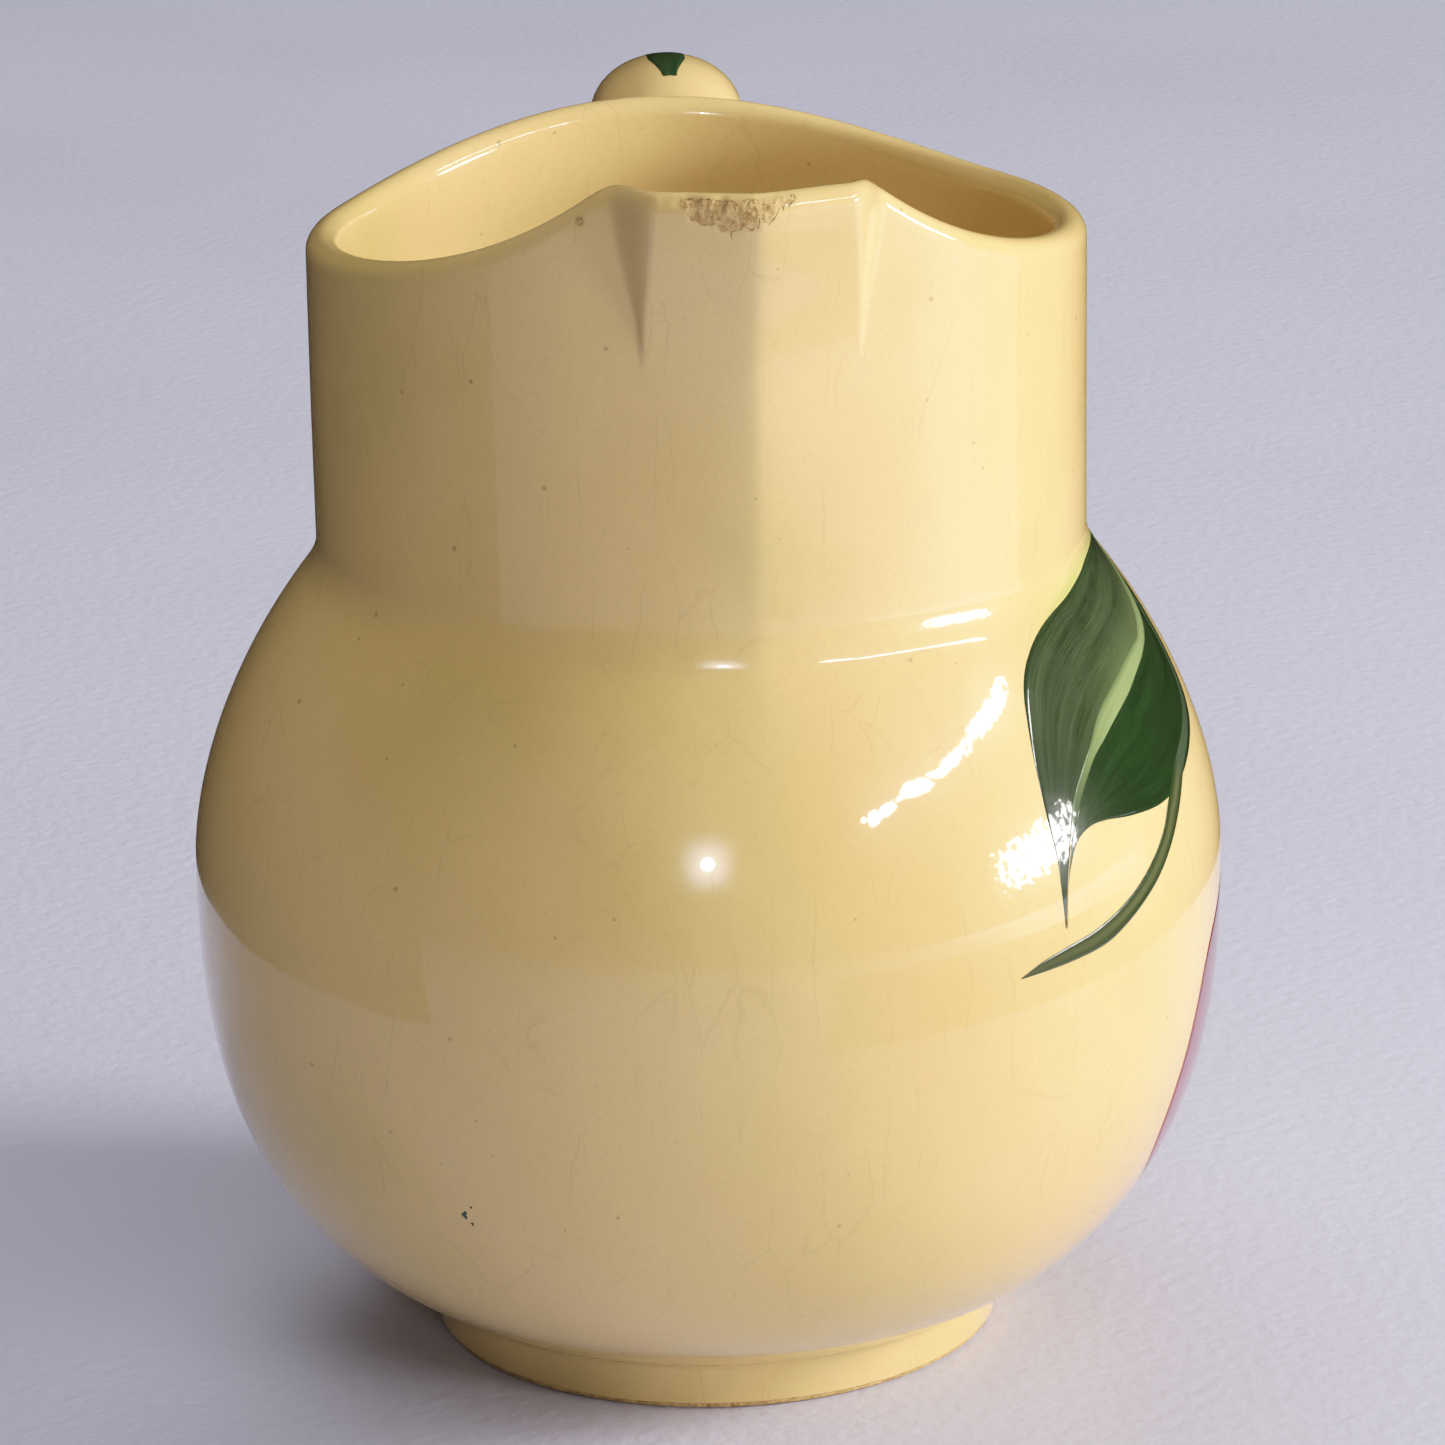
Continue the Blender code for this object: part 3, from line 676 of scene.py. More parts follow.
def make_blob(name, outline, middle, surface, rings=18, spokes=120):
    """A closed pad filled from its middle out to an outline."""
    edge = along_curve(list(outline) + [outline[0]], spokes + 1)
    grid = []
    for i in range(spokes + 1):
        radius = math.hypot(math.radians(edge[i].x - middle[0]) * GLOBE_RADIUS, (edge[i].y - middle[1]) * MM)
        shares = [0.0] + [k / rings for k in range(1, rings)] + [1.0 - SLIP_BORDER / radius, 1.0]
        grid.append([(Vector(middle).lerp(edge[i], share), i / spokes, share) for share in shares])
    return polar_pad(name, grid, surface)


def polar_pad(name, grid, surface):
    """A thin closed pad made of spokes that share their first point."""
    spokes, rings = len(grid) - 1, len(grid[0]) - 1
    points = [on_globe(grid[0][0][0], SLIP_LIFT), on_globe(grid[0][0][0], -SLIP_ROOT)]
    along = [0.0, 0.0]
    across = [0.0, 0.0]
    for layer in (0, 1):
        for row in grid[:-1]:
            for k, (spot, u, v) in enumerate(row[1:]):
                top = -SLIP_SINK if k == rings - 1 else SLIP_LIFT
                points.append(on_globe(spot, top if layer == 0 else -SLIP_ROOT))
                along.append(u)
                across.append(v)
    faces = []
    for layer in (0, 1):
        start = 2 + layer * spokes * rings
        for i in range(spokes):
            j = (i + 1) % spokes
            faces.append((layer, start + i * rings, start + j * rings))
            for k in range(rings - 1):
                a, b = start + i * rings + k, start + j * rings + k
                faces.append((a, a + 1, b + 1, b))
    for i in range(spokes):
        a = 2 + i * rings + rings - 1
        b = 2 + ((i + 1) % spokes) * rings + rings - 1
        faces.append((a, b, b + spokes * rings, a + spokes * rings))
    return finish_pad(add_mesh(name, points, faces, surface), along, across)


def apple_outline():
    """A round fruit with a dip at its top: the drawn half and its mirror image."""
    middle = APPLE_MIDDLE[0]
    mirrored = [(2.0 * middle - degrees, z) for degrees, z in APPLE_LEFT_HALF[1:-1]]
    return APPLE_LEFT_HALF + mirrored[::-1]


def speck_outline(degrees, z, size):
    """A small uneven drop of slip."""
    outline = []
    for k in range(9):
        turn = math.tau * k / 9.0
        reach = size * (1.0 + 0.35 * math.sin(3.0 * turn + degrees) + 0.2 * math.cos(2.0 * turn + z))
        outline.append((degrees + reach * math.cos(turn) * 0.85, z + reach * math.sin(turn)))
    return outline


def make_handle_stroke(surface):
    """A brush stroke along the crown of the handle: narrow and square at its front end."""
    length_steps, width_steps = 60, 8
    grid = []
    for i in range(length_steps + 1):
        u = i / length_steps
        place = mix(HANDLE_STROKE_START, HANDLE_STROKE_END, u)
        half = mix(HANDLE_STROKE_NARROW, HANDLE_STROKE_WIDE, smooth(u / 0.16)) * smooth((1.03 - u) / 0.5) * MM
        edge = clamp(SLIP_BORDER / (2.0 * half), 0.01, 0.3)
        shares = [0.0] + [mix(edge, 1.0 - edge, j / width_steps) for j in range(width_steps + 1)] + [1.0]
        row = []
        for v in shares:
            turn = math.acos(clamp((1.0 - 2.0 * v) * half / HANDLE_HALF_WIDTH, -1.0, 1.0))
            row.append(((place, turn), u, v))
        grid.append(row)
    return slip_pad("handle_brush", grid, lambda spot, lift: handle_point(spot[0], spot[1], lift), surface)


# ---------------------------------------------------------------- materials

# Display colours from 0 to 255.
GLAZE_PALE = (232, 197, 130)
GLAZE_DEEP = (225, 188, 116)
GLAZE_OLIVE = (202, 176, 99)
GLAZE_PINK = (225, 181, 127)
GLAZE_WARM = (236, 194, 126)
SPECK_TAN = (196, 164, 104)
SPECK_BROWN = (120, 84, 48)
CRAZE = (140, 108, 66)
CLAY = (220, 182, 122)
CLAY_DARK = (158, 114, 66)
STAIN = (200, 168, 112)
FOLD_TONE = (206, 166, 124)
FLOOR_PALE = (204, 207, 236)
FLOOR_DEEP = (198, 201, 229)
CARD_TONE = (34, 30, 24)

GLAZE_ROUGHNESS = 0.22
BARE_ROUGHNESS = 0.8
COAT_WEIGHT = 0.8
BUMP_DEPTH = 1.2 * MM


def linear(red, green, blue):
    """A display colour from 0 to 255 as a linear one."""
    def one(value):
        share = value / 255.0
        return share / 12.92 if share <= 0.04045 else ((share + 0.055) / 1.055) ** 2.4
    return (one(red), one(green), one(blue), 1.0)


class Graph:
    """Short calls for building a node tree."""

    def __init__(self, tree):
        self.tree = tree

    def link(self, source, target):
        self.tree.links.new(source, target)

    def put(self, value, target):
        if isinstance(value, bpy.types.NodeSocket):
            self.link(value, target)
        else:
            target.default_value = value

    def node(self, kind, inputs=None, **settings):
        """A new node with its settings, and with its inputs linked or given a value."""
        made = self.tree.nodes.new(kind)
        for key, value in settings.items():
            setattr(made, key, value)
        for key, value in (inputs or {}).items():
            self.put(value, made.inputs[key])
        return made

    def math(self, operation, a, b):
        return self.node("ShaderNodeMath", {0: a, 1: b}, operation=operation).outputs[0]

    def times(self, a, b):
        return self.math("MULTIPLY", a, b)

    def mix(self, share, a, b):
        inputs = {"Factor": share, "A": a, "B": b}
        return self.node("ShaderNodeMix", inputs, data_type="RGBA").outputs["Result"]

    def tint(self, colour, share, most, tone):
        """A colour shifted towards a display tone, by share times most."""
        return self.mix(self.times(share, most), colour, linear(*tone))

    def ramp(self, value, low, high):
        """0 below low, 1 above high, smooth between them."""
        inputs = {"Value": value, "From Min": low, "From Max": high}
        return self.node("ShaderNodeMapRange", inputs, interpolation_type="SMOOTHSTEP").outputs["Result"]

    def position(self, scale=(1.0, 1.0, 1.0), offset=(0.0, 0.0, 0.0)):
        place = self.node("ShaderNodeTexCoord").outputs["Object"]
        inputs = {"Vector": place, "Scale": scale, "Location": offset}
        return self.node("ShaderNodeMapping", inputs).outputs["Vector"]

    def noise(self, vector, scale, detail=2.0, roughness=0.5, distortion=0.0, result="Fac"):
        inputs = {"Vector": vector, "Scale": scale, "Detail": detail, "Roughness": roughness,
                  "Distortion": distortion}
        return self.node("ShaderNodeTexNoise", inputs).outputs[result]

    def cells(self, vector, scale, feature):
        inputs = {"Vector": vector, "Scale": scale}
        return self.node("ShaderNodeTexVoronoi", inputs, feature=feature).outputs["Distance"]

    def vector(self, *values):
        return self.node("ShaderNodeCombineXYZ", dict(enumerate(values))).outputs[0]

    def split(self, vector):
        return self.node("ShaderNodeSeparateXYZ", {0: vector}).outputs

    def attribute(self, name):
        return self.node("ShaderNodeAttribute", attribute_name=name).outputs["Fac"]


def glaze_group():
    """Colour and height of the cream glaze, shared by the clay and by the edges of the slip."""
    tree = bpy.data.node_groups.new("cream_glaze_pattern", "ShaderNodeTree")
    tree.interface.new_socket("Color", in_out="OUTPUT", socket_type="NodeSocketColor")
    tree.interface.new_socket("Height", in_out="OUTPUT", socket_type="NodeSocketFloat")
    g = Graph(tree)
    exit_node = g.node("NodeGroupOutput")
    place = g.position()
    slow = g.ramp(g.noise(place, 17.0, 3.0), 0.35, 0.7)
    colour = g.mix(slow, linear(*GLAZE_PALE), linear(*GLAZE_DEEP))
    olive = g.ramp(g.noise(g.position(offset=(0.3, 0.1, 0.2)), 26.0, 2.0), 0.48, 0.72)
    colour = g.tint(colour, olive, 0.5, GLAZE_OLIVE)
    pink = g.ramp(g.noise(g.position(offset=(0.9, 0.4, 0.6)), 48.0, 3.0), 0.5, 0.75)
    colour = g.tint(colour, pink, 0.22, GLAZE_PINK)
    mottle = g.ramp(g.noise(place, 330.0, 3.0, 0.6), 0.35, 0.75)
    colour = g.tint(colour, mottle, 0.24, GLAZE_WARM)
    grain = g.ramp(g.noise(place, 1500.0, 2.0, 0.6), 0.5, 0.8)
    colour = g.tint(colour, grain, 0.28, SPECK_TAN)

    specks = g.ramp(g.math("SUBTRACT", g.times(g.noise(place, 90.0, 1.0), 0.105),
                           g.cells(place, 165.0, "F1")), 0.0, 0.02)
    colour = g.tint(colour, specks, 0.45, SPECK_BROWN)

    drift = g.noise(place, 90.0, 3.0, result="Color")
    inputs = {0: drift, 1: (0.0034, 0.0034, 0.002), 2: g.position(scale=(1.0, 1.0, 0.125))}
    warp = g.node("ShaderNodeVectorMath", inputs, operation="MULTIPLY_ADD")
    cracks = g.cells(warp.outputs[0], 150.0, "DISTANCE_TO_EDGE")
    line = g.math("SUBTRACT", 1.0, g.ramp(cracks, 0.0, 0.022))
    patchy = g.ramp(g.noise(g.position(offset=(0.7, 0.2, 0.4)), 95.0, 3.0), 0.44, 0.62)
    crazing = g.times(line, patchy)
    colour = g.tint(colour, crazing, 0.13, CRAZE)
    g.link(colour, exit_node.inputs["Color"])

    ripple = g.times(g.noise(place, 110.0, 2.0), 0.12)
    peel = g.times(g.noise(place, 900.0, 1.0), 0.012)
    height = g.math("ADD", ripple, peel)
    height = g.math("SUBTRACT", height, g.times(crazing, 0.004))
    g.link(height, exit_node.inputs["Height"])
    return tree


def new_material(name):
    made = bpy.data.materials.new(name)
    made.use_nodes = True
    g = Graph(made.node_tree)
    shader = made.node_tree.nodes["Principled BSDF"]
    return made, g, shader


def gloss(shader):
    """A soft glow under a clear glassy skin."""
    shader.inputs["Roughness"].default_value = GLAZE_ROUGHNESS
    shader.inputs["IOR"].default_value = 1.45
    shader.inputs["Specular IOR Level"].default_value = 0.12
    shader.inputs["Coat Weight"].default_value = COAT_WEIGHT
    shader.inputs["Coat Roughness"].default_value = 0.035
    shader.inputs["Coat IOR"].default_value = 1.5


def bump(g, height, shader, distance, strength=1.0):
    made = g.node("ShaderNodeBump", {"Strength": strength, "Distance": distance, "Height": height})
    g.link(made.outputs["Normal"], shader.inputs["Normal"])


def glazed_clay(pattern):
    """Cream glaze, with bare rough clay where it has worn away."""
    made, g, shader = new_material("cream_glaze_finish")
    glaze = g.node("ShaderNodeGroup", node_tree=pattern)
    place = g.position()
    ragged = g.noise(place, 520.0, 4.0, 0.65)
    lip = g.ramp(g.math("ADD", g.attribute("lip_wear"), ragged), 1.12, 1.3)
    stain = g.ramp(g.math("ADD", g.attribute("lip_wear"), ragged), 0.75, 1.2)
    foot = g.ramp(g.math("ADD", g.attribute("foot_wear"), ragged), 1.1, 1.25)
    clay_tone = g.mix(g.ramp(g.noise(place, 800.0, 3.0, 0.7), 0.4, 0.66), linear(*CLAY), linear(*CLAY_DARK))
    # Pooled glaze and painted shade: the spout's folds are tinted a darker pinkish brown.
    pooled_and_shaded = g.times(g.attribute("fold_pool_and_shade"), 0.16)
    colour = g.mix(pooled_and_shaded, glaze.outputs["Color"], linear(*FOLD_TONE))
    colour = g.tint(colour, stain, 0.5, STAIN)
    bare = g.math("MAXIMUM", lip, foot)
    colour = g.mix(g.times(bare, 0.7), colour, clay_tone)
    g.link(colour, shader.inputs["Base Color"])
    gloss(shader)
    rougher = g.times(bare, BARE_ROUGHNESS - GLAZE_ROUGHNESS)
    g.link(g.math("ADD", rougher, GLAZE_ROUGHNESS), shader.inputs["Roughness"])
    coated = g.math("SUBTRACT", 1.0, bare)
    g.link(g.times(coated, COAT_WEIGHT), shader.inputs["Coat Weight"])
    grit = g.times(g.times(g.noise(place, 1300.0, 3.0), bare), 0.3)
    bump(g, g.math("ADD", glaze.outputs["Height"], grit), shader, BUMP_DEPTH)
    return made


def slip_finish(name, pattern, paint):
    """Glossy slip: paint gives its colour from a graph, along and across the stroke."""
    made, g, shader = new_material(name)
    glaze = g.node("ShaderNodeGroup", node_tree=pattern)
    along, across = g.attribute("along"), g.attribute("across")
    colour, cover = paint(g, along, across)
    colour = g.mix(cover, glaze.outputs["Color"], colour)
    g.link(colour, shader.inputs["Base Color"])
    gloss(shader)
    bump(g, glaze.outputs["Height"], shader, BUMP_DEPTH)
    return made


def brush_marks(g, along, across, fit, low, high):
    """Streaks that run along a stroke: fit says how many fit along and across it, and their seed."""
    length, width, seed = fit
    place = g.vector(g.times(along, length), g.times(across, width), seed)
    return g.ramp(g.noise(place, 1.0, 4.0, 0.65), low, high)


def light_half_paint(g, along, across):
    broad = brush_marks(g, along, across, (2.6, 7.0, 1.7), 0.34, 0.68)
    hairs = brush_marks(g, along, across, (7.0, 60.0, 4.1), 0.48, 0.74)
    cloud = g.ramp(g.noise(g.position(), 190.0, 4.0, 0.6), 0.4, 0.7)
    colour = g.mix(broad, linear(36, 49, 27), linear(55, 68, 43))
    colour = g.tint(colour, hairs, 0.45, (84, 94, 66))
    colour = g.tint(colour, cloud, 0.25, (62, 74, 58))
    rim = g.ramp(across, 0.12, 0.0)
    colour = g.tint(colour, rim, 0.55, (31, 46, 20))
    foot = g.ramp(along, 0.40, 0.16)
    colour = g.tint(colour, foot, 0.5, (33, 41, 27))
    near_vein = g.ramp(across, 0.5, 0.97)
    mid = g.times(near_vein, g.ramp(along, 0.34, 0.6))
    colour = g.tint(colour, mid, 0.8, (81, 94, 60))
    return colour, 1.0


def dark_half_paint(g, along, across):
    broad = brush_marks(g, along, across, (2.6, 6.0, 8.3), 0.36, 0.68)
    hairs = brush_marks(g, along, across, (7.0, 55.0, 2.9), 0.6, 0.8)
    colour = g.mix(broad, linear(23, 41, 17), linear(33, 53, 27))
    colour = g.tint(colour, hairs, 0.14, (69, 86, 62))
    foot = g.ramp(along, 0.32, 0.10)
    colour = g.tint(colour, foot, 0.6, (57, 69, 45))
    return colour, 1.0


def vein_paint(g, along, across):
    streaks = brush_marks(g, along, across, (4.0, 8.0, 5.5), 0.35, 0.7)
    colour = g.mix(streaks, linear(129, 148, 95), linear(116, 133, 82))
    faded = g.ramp(along, 0.66, 0.95)
    colour = g.mix(faded, colour, linear(59, 72, 46))
    start = g.ramp(along, 0.30, 0.05)
    colour = g.tint(colour, start, 0.5, (100, 116, 82))
    beside = g.ramp(across, 0.45, 0.0)
    colour = g.tint(colour, beside, 0.8, (82, 98, 62))
    return colour, 1.0


def wash_paint(g, along, across):
    colour = g.mix(brush_marks(g, along, across, (5.0, 4.0, 3.3), 0.35, 0.7),
                   linear(190, 194, 108), linear(164, 178, 88))
    cover = g.times(g.ramp(across, 0.0, 0.8), g.ramp(along, 0.02, 0.4))
    return colour, g.times(cover, 0.8)


def stem_paint(g, along, across):
    streaks = brush_marks(g, along, across, (6.0, 14.0, 6.1), 0.35, 0.7)
    colour = g.mix(streaks, linear(36, 48, 22), linear(52, 63, 33))
    middle = g.times(g.ramp(across, 0.12, 0.42), g.ramp(across, 0.80, 0.5))
    colour = g.tint(colour, middle, 0.7, (86, 90, 58))
    tip = g.ramp(along, 0.30, 0.05)
    colour = g.tint(colour, tip, 0.5, (67, 71, 52))
    # Painted sheen: the stroke's upper stretch, up along the dark half's edge, turns a paler grey-green.
    upper = g.ramp(along, 0.54, 0.62)
    colour = g.mix(upper, colour, linear(58, 73, 54))
    return colour, 1.0


def apple_paint(g, along, across):
    place = g.position()
    broad = g.ramp(g.noise(place, 60.0, 4.0, 0.6, 0.6), 0.35, 0.65)
    fine = brush_marks(g, along, across, (60.0, 5.0, 9.2), 0.4, 0.7)
    colour = g.mix(broad, linear(109, 18, 28), linear(134, 31, 39))
    colour = g.tint(colour, fine, 0.4, (85, 11, 20))
    top = g.ramp(g.split(place)[2], 0.042, 0.061)
    colour = g.tint(colour, top, 0.6, (61, 9, 17))
    return colour, 1.0


def handle_paint(g, along, across):
    streaks = brush_marks(g, along, across, (4.0, 12.0, 7.7), 0.35, 0.7)
    return g.mix(streaks, linear(28, 54, 28), linear(51, 75, 44)), 1.0


# ---------------------------------------------------------------- floor, light and camera

CAMERA_TURN = math.radians(-3.2)
CAMERA_BACK = 870.3 * MM
CAMERA_HEIGHT = 360.85 * MM
CAMERA_YAW = math.radians(0.146)
CAMERA_PITCH = math.radians(17.82)
CAMERA_ROLL = math.radians(-1.11)
CAMERA_LENS = 174.4
CAMERA_SENSOR = 36.0

# Soft lights, not seen in reflections: azimuth, elevation, distance, size, power and colour.
SOFT_LIGHTS = {
    "key": (86.5, 20.0, 1.6, (0.5, 0.5), 42.0, (1.0, 0.95, 0.88)),
    "fill": (14.0, 52.0, 1.7, (1.0, 1.0), 8.4, (1.0, 0.97, 0.93)),
    "low_fill": (62.0, 4.5, 1.5, (0.5, 0.2), 13.0, (1.0, 0.95, 0.89)),
    "back_fill": (190.0, 50.0, 1.8, (1.2, 1.2), 12.0, (1.0, 0.97, 0.94)),
    "top_fill": (-110.0, 74.0, 1.9, (1.2, 1.2), 4.5, (1.0, 0.98, 0.96)),
}

# Bright panes that the glaze mirrors: azimuth, elevation, width and height, power and tilt.
REFLECTED_PANES = [
    (77.5, 7.6, (0.62, 0.22), 11.0, 3.0),
    (41.5, 26.4, (0.20, 0.06), 1.4, 14.0),
    (52.5, 28.4, (0.26, 0.07), 1.8, -5.0),
    (64.0, 29.2, (0.34, 0.06), 2.0, 6.0),
    (82.0, 30.6, (0.50, 0.08), 3.6, 2.0),
]
PANE_DISTANCE = 1.3
PANE_COLOUR = (1.0, 0.98, 0.95)
PANE_RAGGEDNESS = 26.0
PANE_STRENGTH = 2.2

# The small bright spot in the middle of the globe and the glow round it: distance, size and power.
SPOT_ELEVATION = 22.6
SPOT = (1.5, (0.07, 0.07), 1.5)
GLOW = (1.55, (0.42, 0.42), 1.2)
GLOW_STRENGTH = 9.0

# The dark card: where it runs round the pitcher, in degrees from the camera's side towards +X.
# Its right end is low, so that the bright panes show over it.
SURROUND_LOW_FROM = 22.0
SURROUND_LOW_HEIGHT = 0.05
SURROUND_FROM = 98.0
SURROUND_TO = 305.0
SURROUND_RADIUS = 0.21
SURROUND_HEIGHT = 0.6

AIM_HEIGHT = 80.0 * MM
FLOOR_HALF_WIDTH = 6.0
WORLD_TONE = (150, 142, 130)
WORLD_STRENGTH = 0.13

# Tone curve: scene light against display light, up to the light that shows as white.
TONE_WHITE = 2.0
TONE_POINTS = [(0.3, 0.30), (0.6, 0.52), (0.94, 0.69), (1.3, 0.85)]


def make_camera():
    data = bpy.data.cameras.new("camera")
    data.lens = CAMERA_LENS
    data.sensor_width = CAMERA_SENSOR
    data.clip_start = 0.05
    data.clip_end = 20.0
    camera = add_object("camera", data)
    forward = Vector((
        math.sin(CAMERA_YAW) * math.cos(CAMERA_PITCH),
        math.cos(CAMERA_YAW) * math.cos(CAMERA_PITCH),
        -math.sin(CAMERA_PITCH),
    ))
    level = Vector((math.cos(CAMERA_YAW), -math.sin(CAMERA_YAW), 0.0))
    upright = level.cross(forward)
    right = level * math.cos(CAMERA_ROLL) + upright * math.sin(CAMERA_ROLL)
    up = upright * math.cos(CAMERA_ROLL) - level * math.sin(CAMERA_ROLL)
    basis = Matrix((right, up, -forward)).transposed().to_4x4()
    basis.translation = Vector((0.0, -CAMERA_BACK, CAMERA_HEIGHT))
    turned = Matrix.Rotation(CAMERA_TURN, 4, "Z") @ basis
    camera.matrix_world = Matrix.Translation(AXIS) @ turned
    bpy.context.scene.camera = camera


def make_floor():
    made, g, shader = new_material("floor_finish")
    place = g.position()
    weave = g.noise(place, 420.0, 2.0)
    tone = g.ramp(g.noise(place, 6.0, 3.0), 0.35, 0.7)
    colour = g.mix(tone, linear(*FLOOR_PALE), linear(*FLOOR_DEEP))
    g.link(colour, shader.inputs["Base Color"])
    shader.inputs["Roughness"].default_value = 0.42
    bump(g, weave, shader, 0.0004, 0.5)
    half = FLOOR_HALF_WIDTH
    points = [(-half, -half, 0.0), (half, -half, 0.0), (half, half, 0.0), (-half, half, 0.0)]
    floor = add_mesh("floor", points, [(0, 1, 2, 3)], made, rounded=False)


def make_dark_surround():
    """A dark curved card behind and beside the pitcher, seen only in the reflections of its glaze."""
    made, _, shader = new_material("dark_card_finish")
    shader.inputs["Base Color"].default_value = linear(*CARD_TONE)
    shader.inputs["Roughness"].default_value = 1.0
    shader.inputs["Specular IOR Level"].default_value = 0.0
    points = []
    for azimuth in spread(SURROUND_LOW_FROM, SURROUND_TO, 3.0):
        top = SURROUND_HEIGHT if azimuth > SURROUND_FROM else SURROUND_LOW_HEIGHT
        for height in (1.0 * MM, top):
            spot = around(azimuth, 0.0, SURROUND_RADIUS)
            points.append((spot.x, spot.y, height))
    faces = [(i, i + 1, i + 3, i + 2) for i in range(0, len(points) - 2, 2)]
    card = add_mesh("dark_card", points, faces, made, rounded=False)
    card.visible_camera = False
    card.visible_diffuse = False
    card.visible_shadow = False
    card.visible_transmission = False


def around(azimuth, elevation, distance):
    """A place round the pitcher: azimuth from the camera's side towards +X, in degrees."""
    turn = math.radians(azimuth) + CAMERA_TURN
    rise = math.radians(elevation)
    level = distance * math.cos(rise)
    height = AIM_HEIGHT + distance * math.sin(rise)
    return AXIS + Vector((level * math.sin(turn), -level * math.cos(turn), height))


def add_light(name, azimuth, elevation, distance, size, power, colour, tilt=0.0):
    data = bpy.data.lights.new(name, "AREA")
    data.shape = "RECTANGLE"
    data.size, data.size_y = size
    data.energy = power
    data.color = colour
    light = add_object(name, data)
    light.location = around(azimuth, elevation, distance)
    aim = AXIS + Vector((0.0, 0.0, AIM_HEIGHT)) - light.location
    light.rotation_euler = aim.to_track_quat("-Z", "Y").to_euler()
    light.rotation_euler.rotate_axis("Z", math.radians(tilt))
    return light


def inwards(g, across, up):
    """0 at the edge of a pane and 1 at its middle."""
    share = 1.0
    for side in (across, up):
        rise = g.times(g.times(side, g.math("SUBTRACT", 1.0, side)), 4.0)
        share = g.times(share, rise)
    return share


def pane_graph(pane):
    """A node graph for a light's strength, with the place across and up the light."""
    pane.data.use_nodes = True
    g = Graph(pane.data.node_tree)
    across, up, _ = g.split(g.node("ShaderNodeNewGeometry").outputs["Parametric"])
    return g, across, up, g.tree.nodes["Emission"].inputs["Strength"]


def fade_out(pane, strength):
    """Let a pane's light fall away softly towards its edges."""
    g, across, up, target = pane_graph(pane)
    soft = g.math("POWER", inwards(g, across, up), 3.0)
    g.link(g.times(soft, strength), target)


def break_up(pane, size, seed):
    """Give a bright pane ragged edges and gaps, as if it were seen through leaves."""
    g, across, up, target = pane_graph(pane)
    place = g.vector(g.times(across, size[0]), g.times(up, size[1]), 3.7 * seed)
    ragged = g.noise(place, PANE_RAGGEDNESS, 3.0, 0.6)
    edge = g.times(inwards(g, across, up), 0.45)
    shape = g.ramp(g.math("ADD", edge, g.times(ragged, 1.7)), 1.0, 1.05)
    g.link(g.times(shape, PANE_STRENGTH), target)


def make_lights():
    for name, settings in SOFT_LIGHTS.items():
        light = add_light(name, *settings)
        light.visible_glossy = False
    for number, (azimuth, elevation, size, power, tilt) in enumerate(REFLECTED_PANES):
        pane = add_light(f"pane_{number}", azimuth, elevation, PANE_DISTANCE, size, power, PANE_COLOUR, tilt)
        break_up(pane, size, number)
        pane.visible_diffuse = False
    front = add_light("front", 0.0, SPOT_ELEVATION, *SPOT, PANE_COLOUR)
    front.data.shape = "DISK"
    glow = add_light("glow", 0.0, SPOT_ELEVATION, *GLOW, PANE_COLOUR)
    fade_out(glow, GLOW_STRENGTH)
    glow.visible_diffuse = False
    world = bpy.data.worlds.new("world")
    bpy.context.scene.world = world
    world.use_nodes = True
    background = world.node_tree.nodes["Background"]
    background.inputs["Color"].default_value = linear(*WORLD_TONE)
    background.inputs["Strength"].default_value = WORLD_STRENGTH
    view = bpy.context.scene.view_settings
    view.view_transform = "Standard"
    view.look = "None"
    view.exposure = 0.0
    soften_highlights(view)


def soften_highlights(view):
    """A film-like shoulder: dark tones stay as they are and bright ones are held back."""
    view.use_curve_mapping = True
    mapping = view.curve_mapping
    mapping.white_level = (TONE_WHITE, TONE_WHITE, TONE_WHITE)
    curve = mapping.curves[3]
    for light, shown in TONE_POINTS:
        curve.points.new(light / TONE_WHITE, shown)
    mapping.update()


# ---------------------------------------------------------------- build

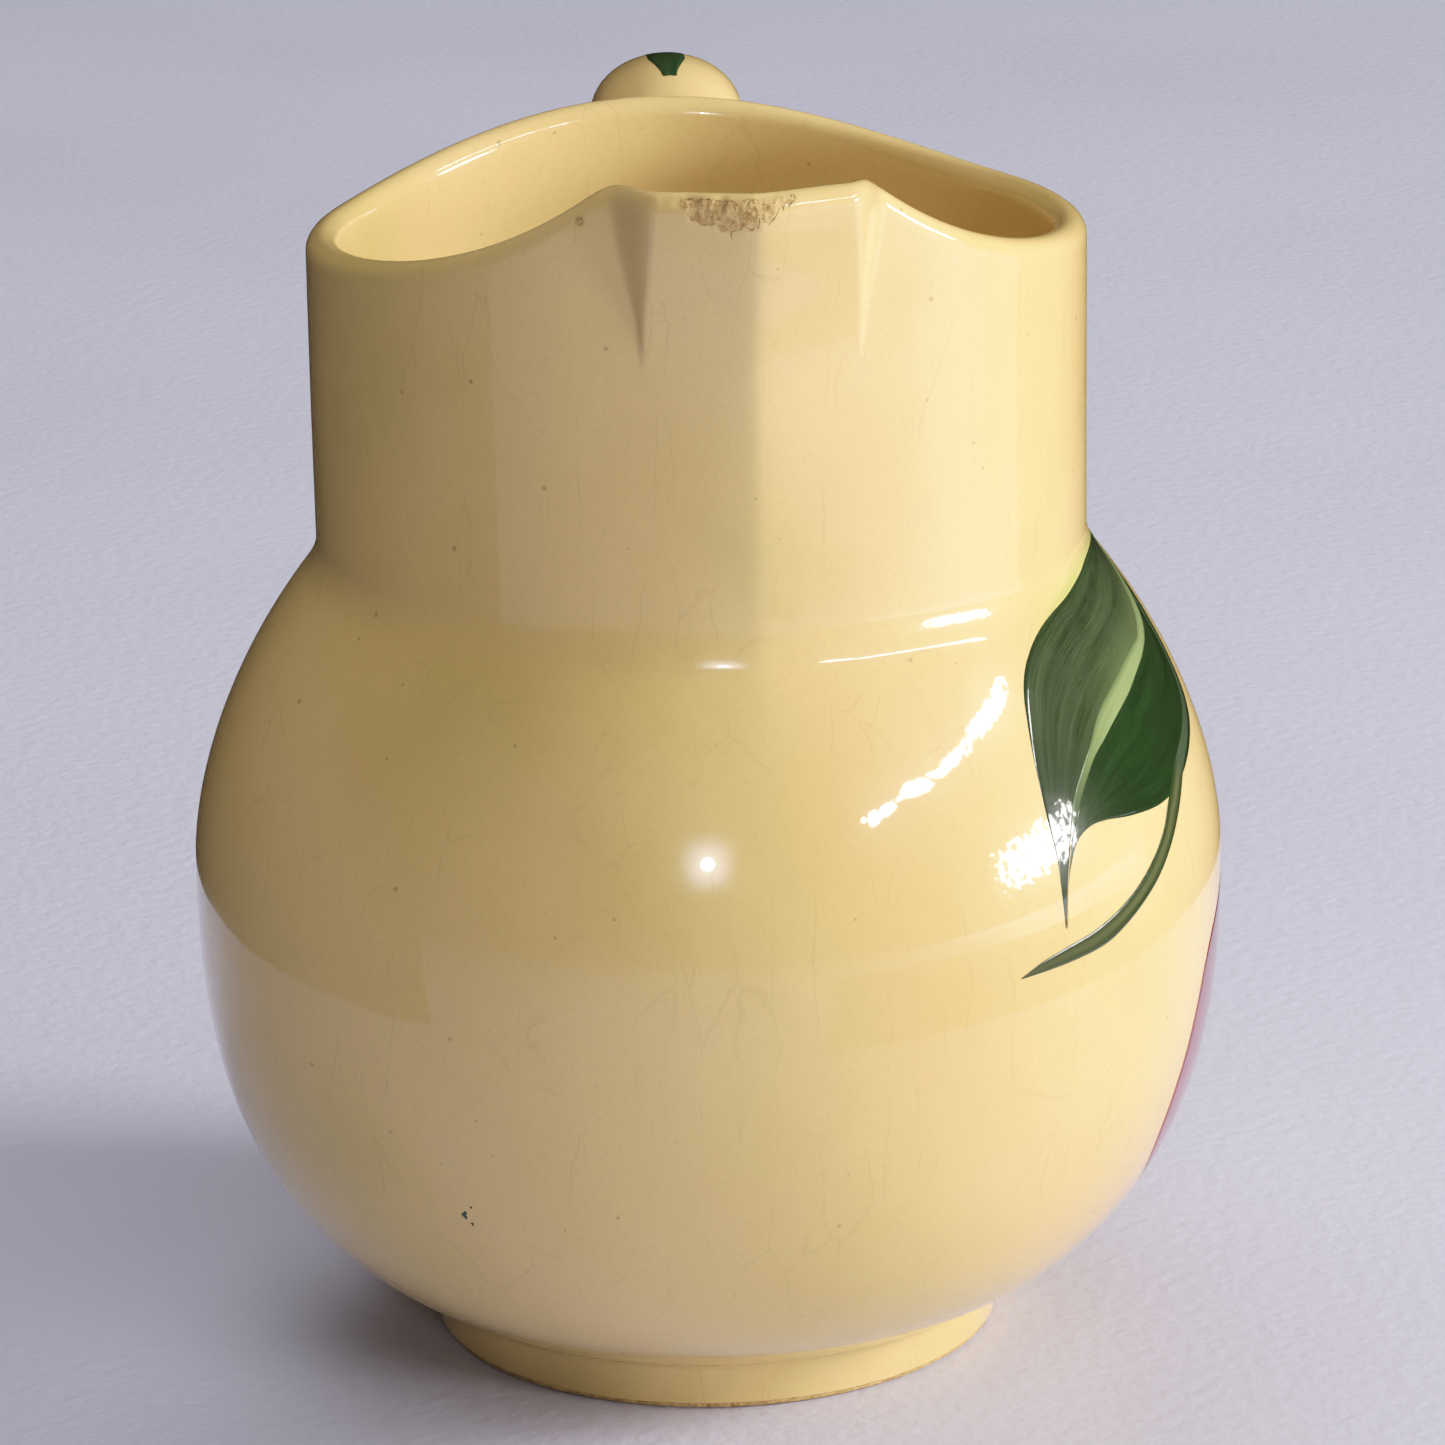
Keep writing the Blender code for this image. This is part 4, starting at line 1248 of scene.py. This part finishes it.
# Strokes: piece, material, paint, two edges, height in slip lifts, mesh steps, slot and CAD node.
STROKES = [
    ("brushed_leaf_light", "leaf_light_finish", light_half_paint,
     LEAF_LEFT_EDGE, LEAF_MIDRIB, 1.0, (96, 14), "leaf_green_slip", "leaf_light_half"),
    ("brushed_leaf_dark", "leaf_dark_finish", dark_half_paint,
     LEAF_MIDRIB, LEAF_RIGHT_EDGE, 1.0, (96, 14), "dark_green_slip", "leaf_dark_half"),
    ("brushed_leaf_vein", "leaf_vein_finish", vein_paint,
     VEIN_LEFT_EDGE, VEIN_RIGHT_EDGE, 2.0, (96, 6), "pale_green_slip", "leaf_vein"),
    ("brushed_leaf_wash", "leaf_wash_finish", wash_paint,
     WASH_OUTER_EDGE, WASH_INNER_EDGE, 0.5, (60, 6), "pale_green_slip"),
    ("brushed_stem", "stem_finish", stem_paint,
     STEM_LEFT_EDGE, STEM_RIGHT_EDGE, 2.0, (96, 8), "leaf_green_slip", "stem_stroke"),
]


def finish_piece(piece, slot, *nodes):
    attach(piece, "root")
    if nodes:
        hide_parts(*nodes)


pattern = glaze_group()
clay = glazed_clay(pattern)
finish_piece(make_body(clay), "cream_glaze", "bowl", "foot_ring", "neck_collar", "spout")
finish_piece(make_handle(clay), "cream_glaze", "handle")

for name, finish, paint, left_edge, right_edge, lift, steps, slot, *nodes in STROKES:
    surface = slip_finish(finish, pattern, paint)
    grid = ruled_grid(left_edge, right_edge, *steps)
    finish_piece(slip_pad(name, grid, on_globe, surface, lift * SLIP_LIFT), slot, *nodes)
fruit = slip_finish("apple_finish", pattern, apple_paint)
finish_piece(make_blob("brushed_apple", apple_outline(), APPLE_MIDDLE, fruit), "apple_red_slip", "apple")
brushed = slip_finish("handle_brush_finish", pattern, handle_paint)
finish_piece(make_handle_stroke(brushed), "dark_green_slip", "handle_stroke")
for number, (degrees, z, size) in enumerate(SPECKS):
    drop = make_blob(f"slip_speck_{number}", speck_outline(degrees, z, size), (degrees, z), brushed, 4, 24)
    finish_piece(drop, "dark_green_slip")
make_floor()
make_dark_surround()
make_lights()
make_camera()
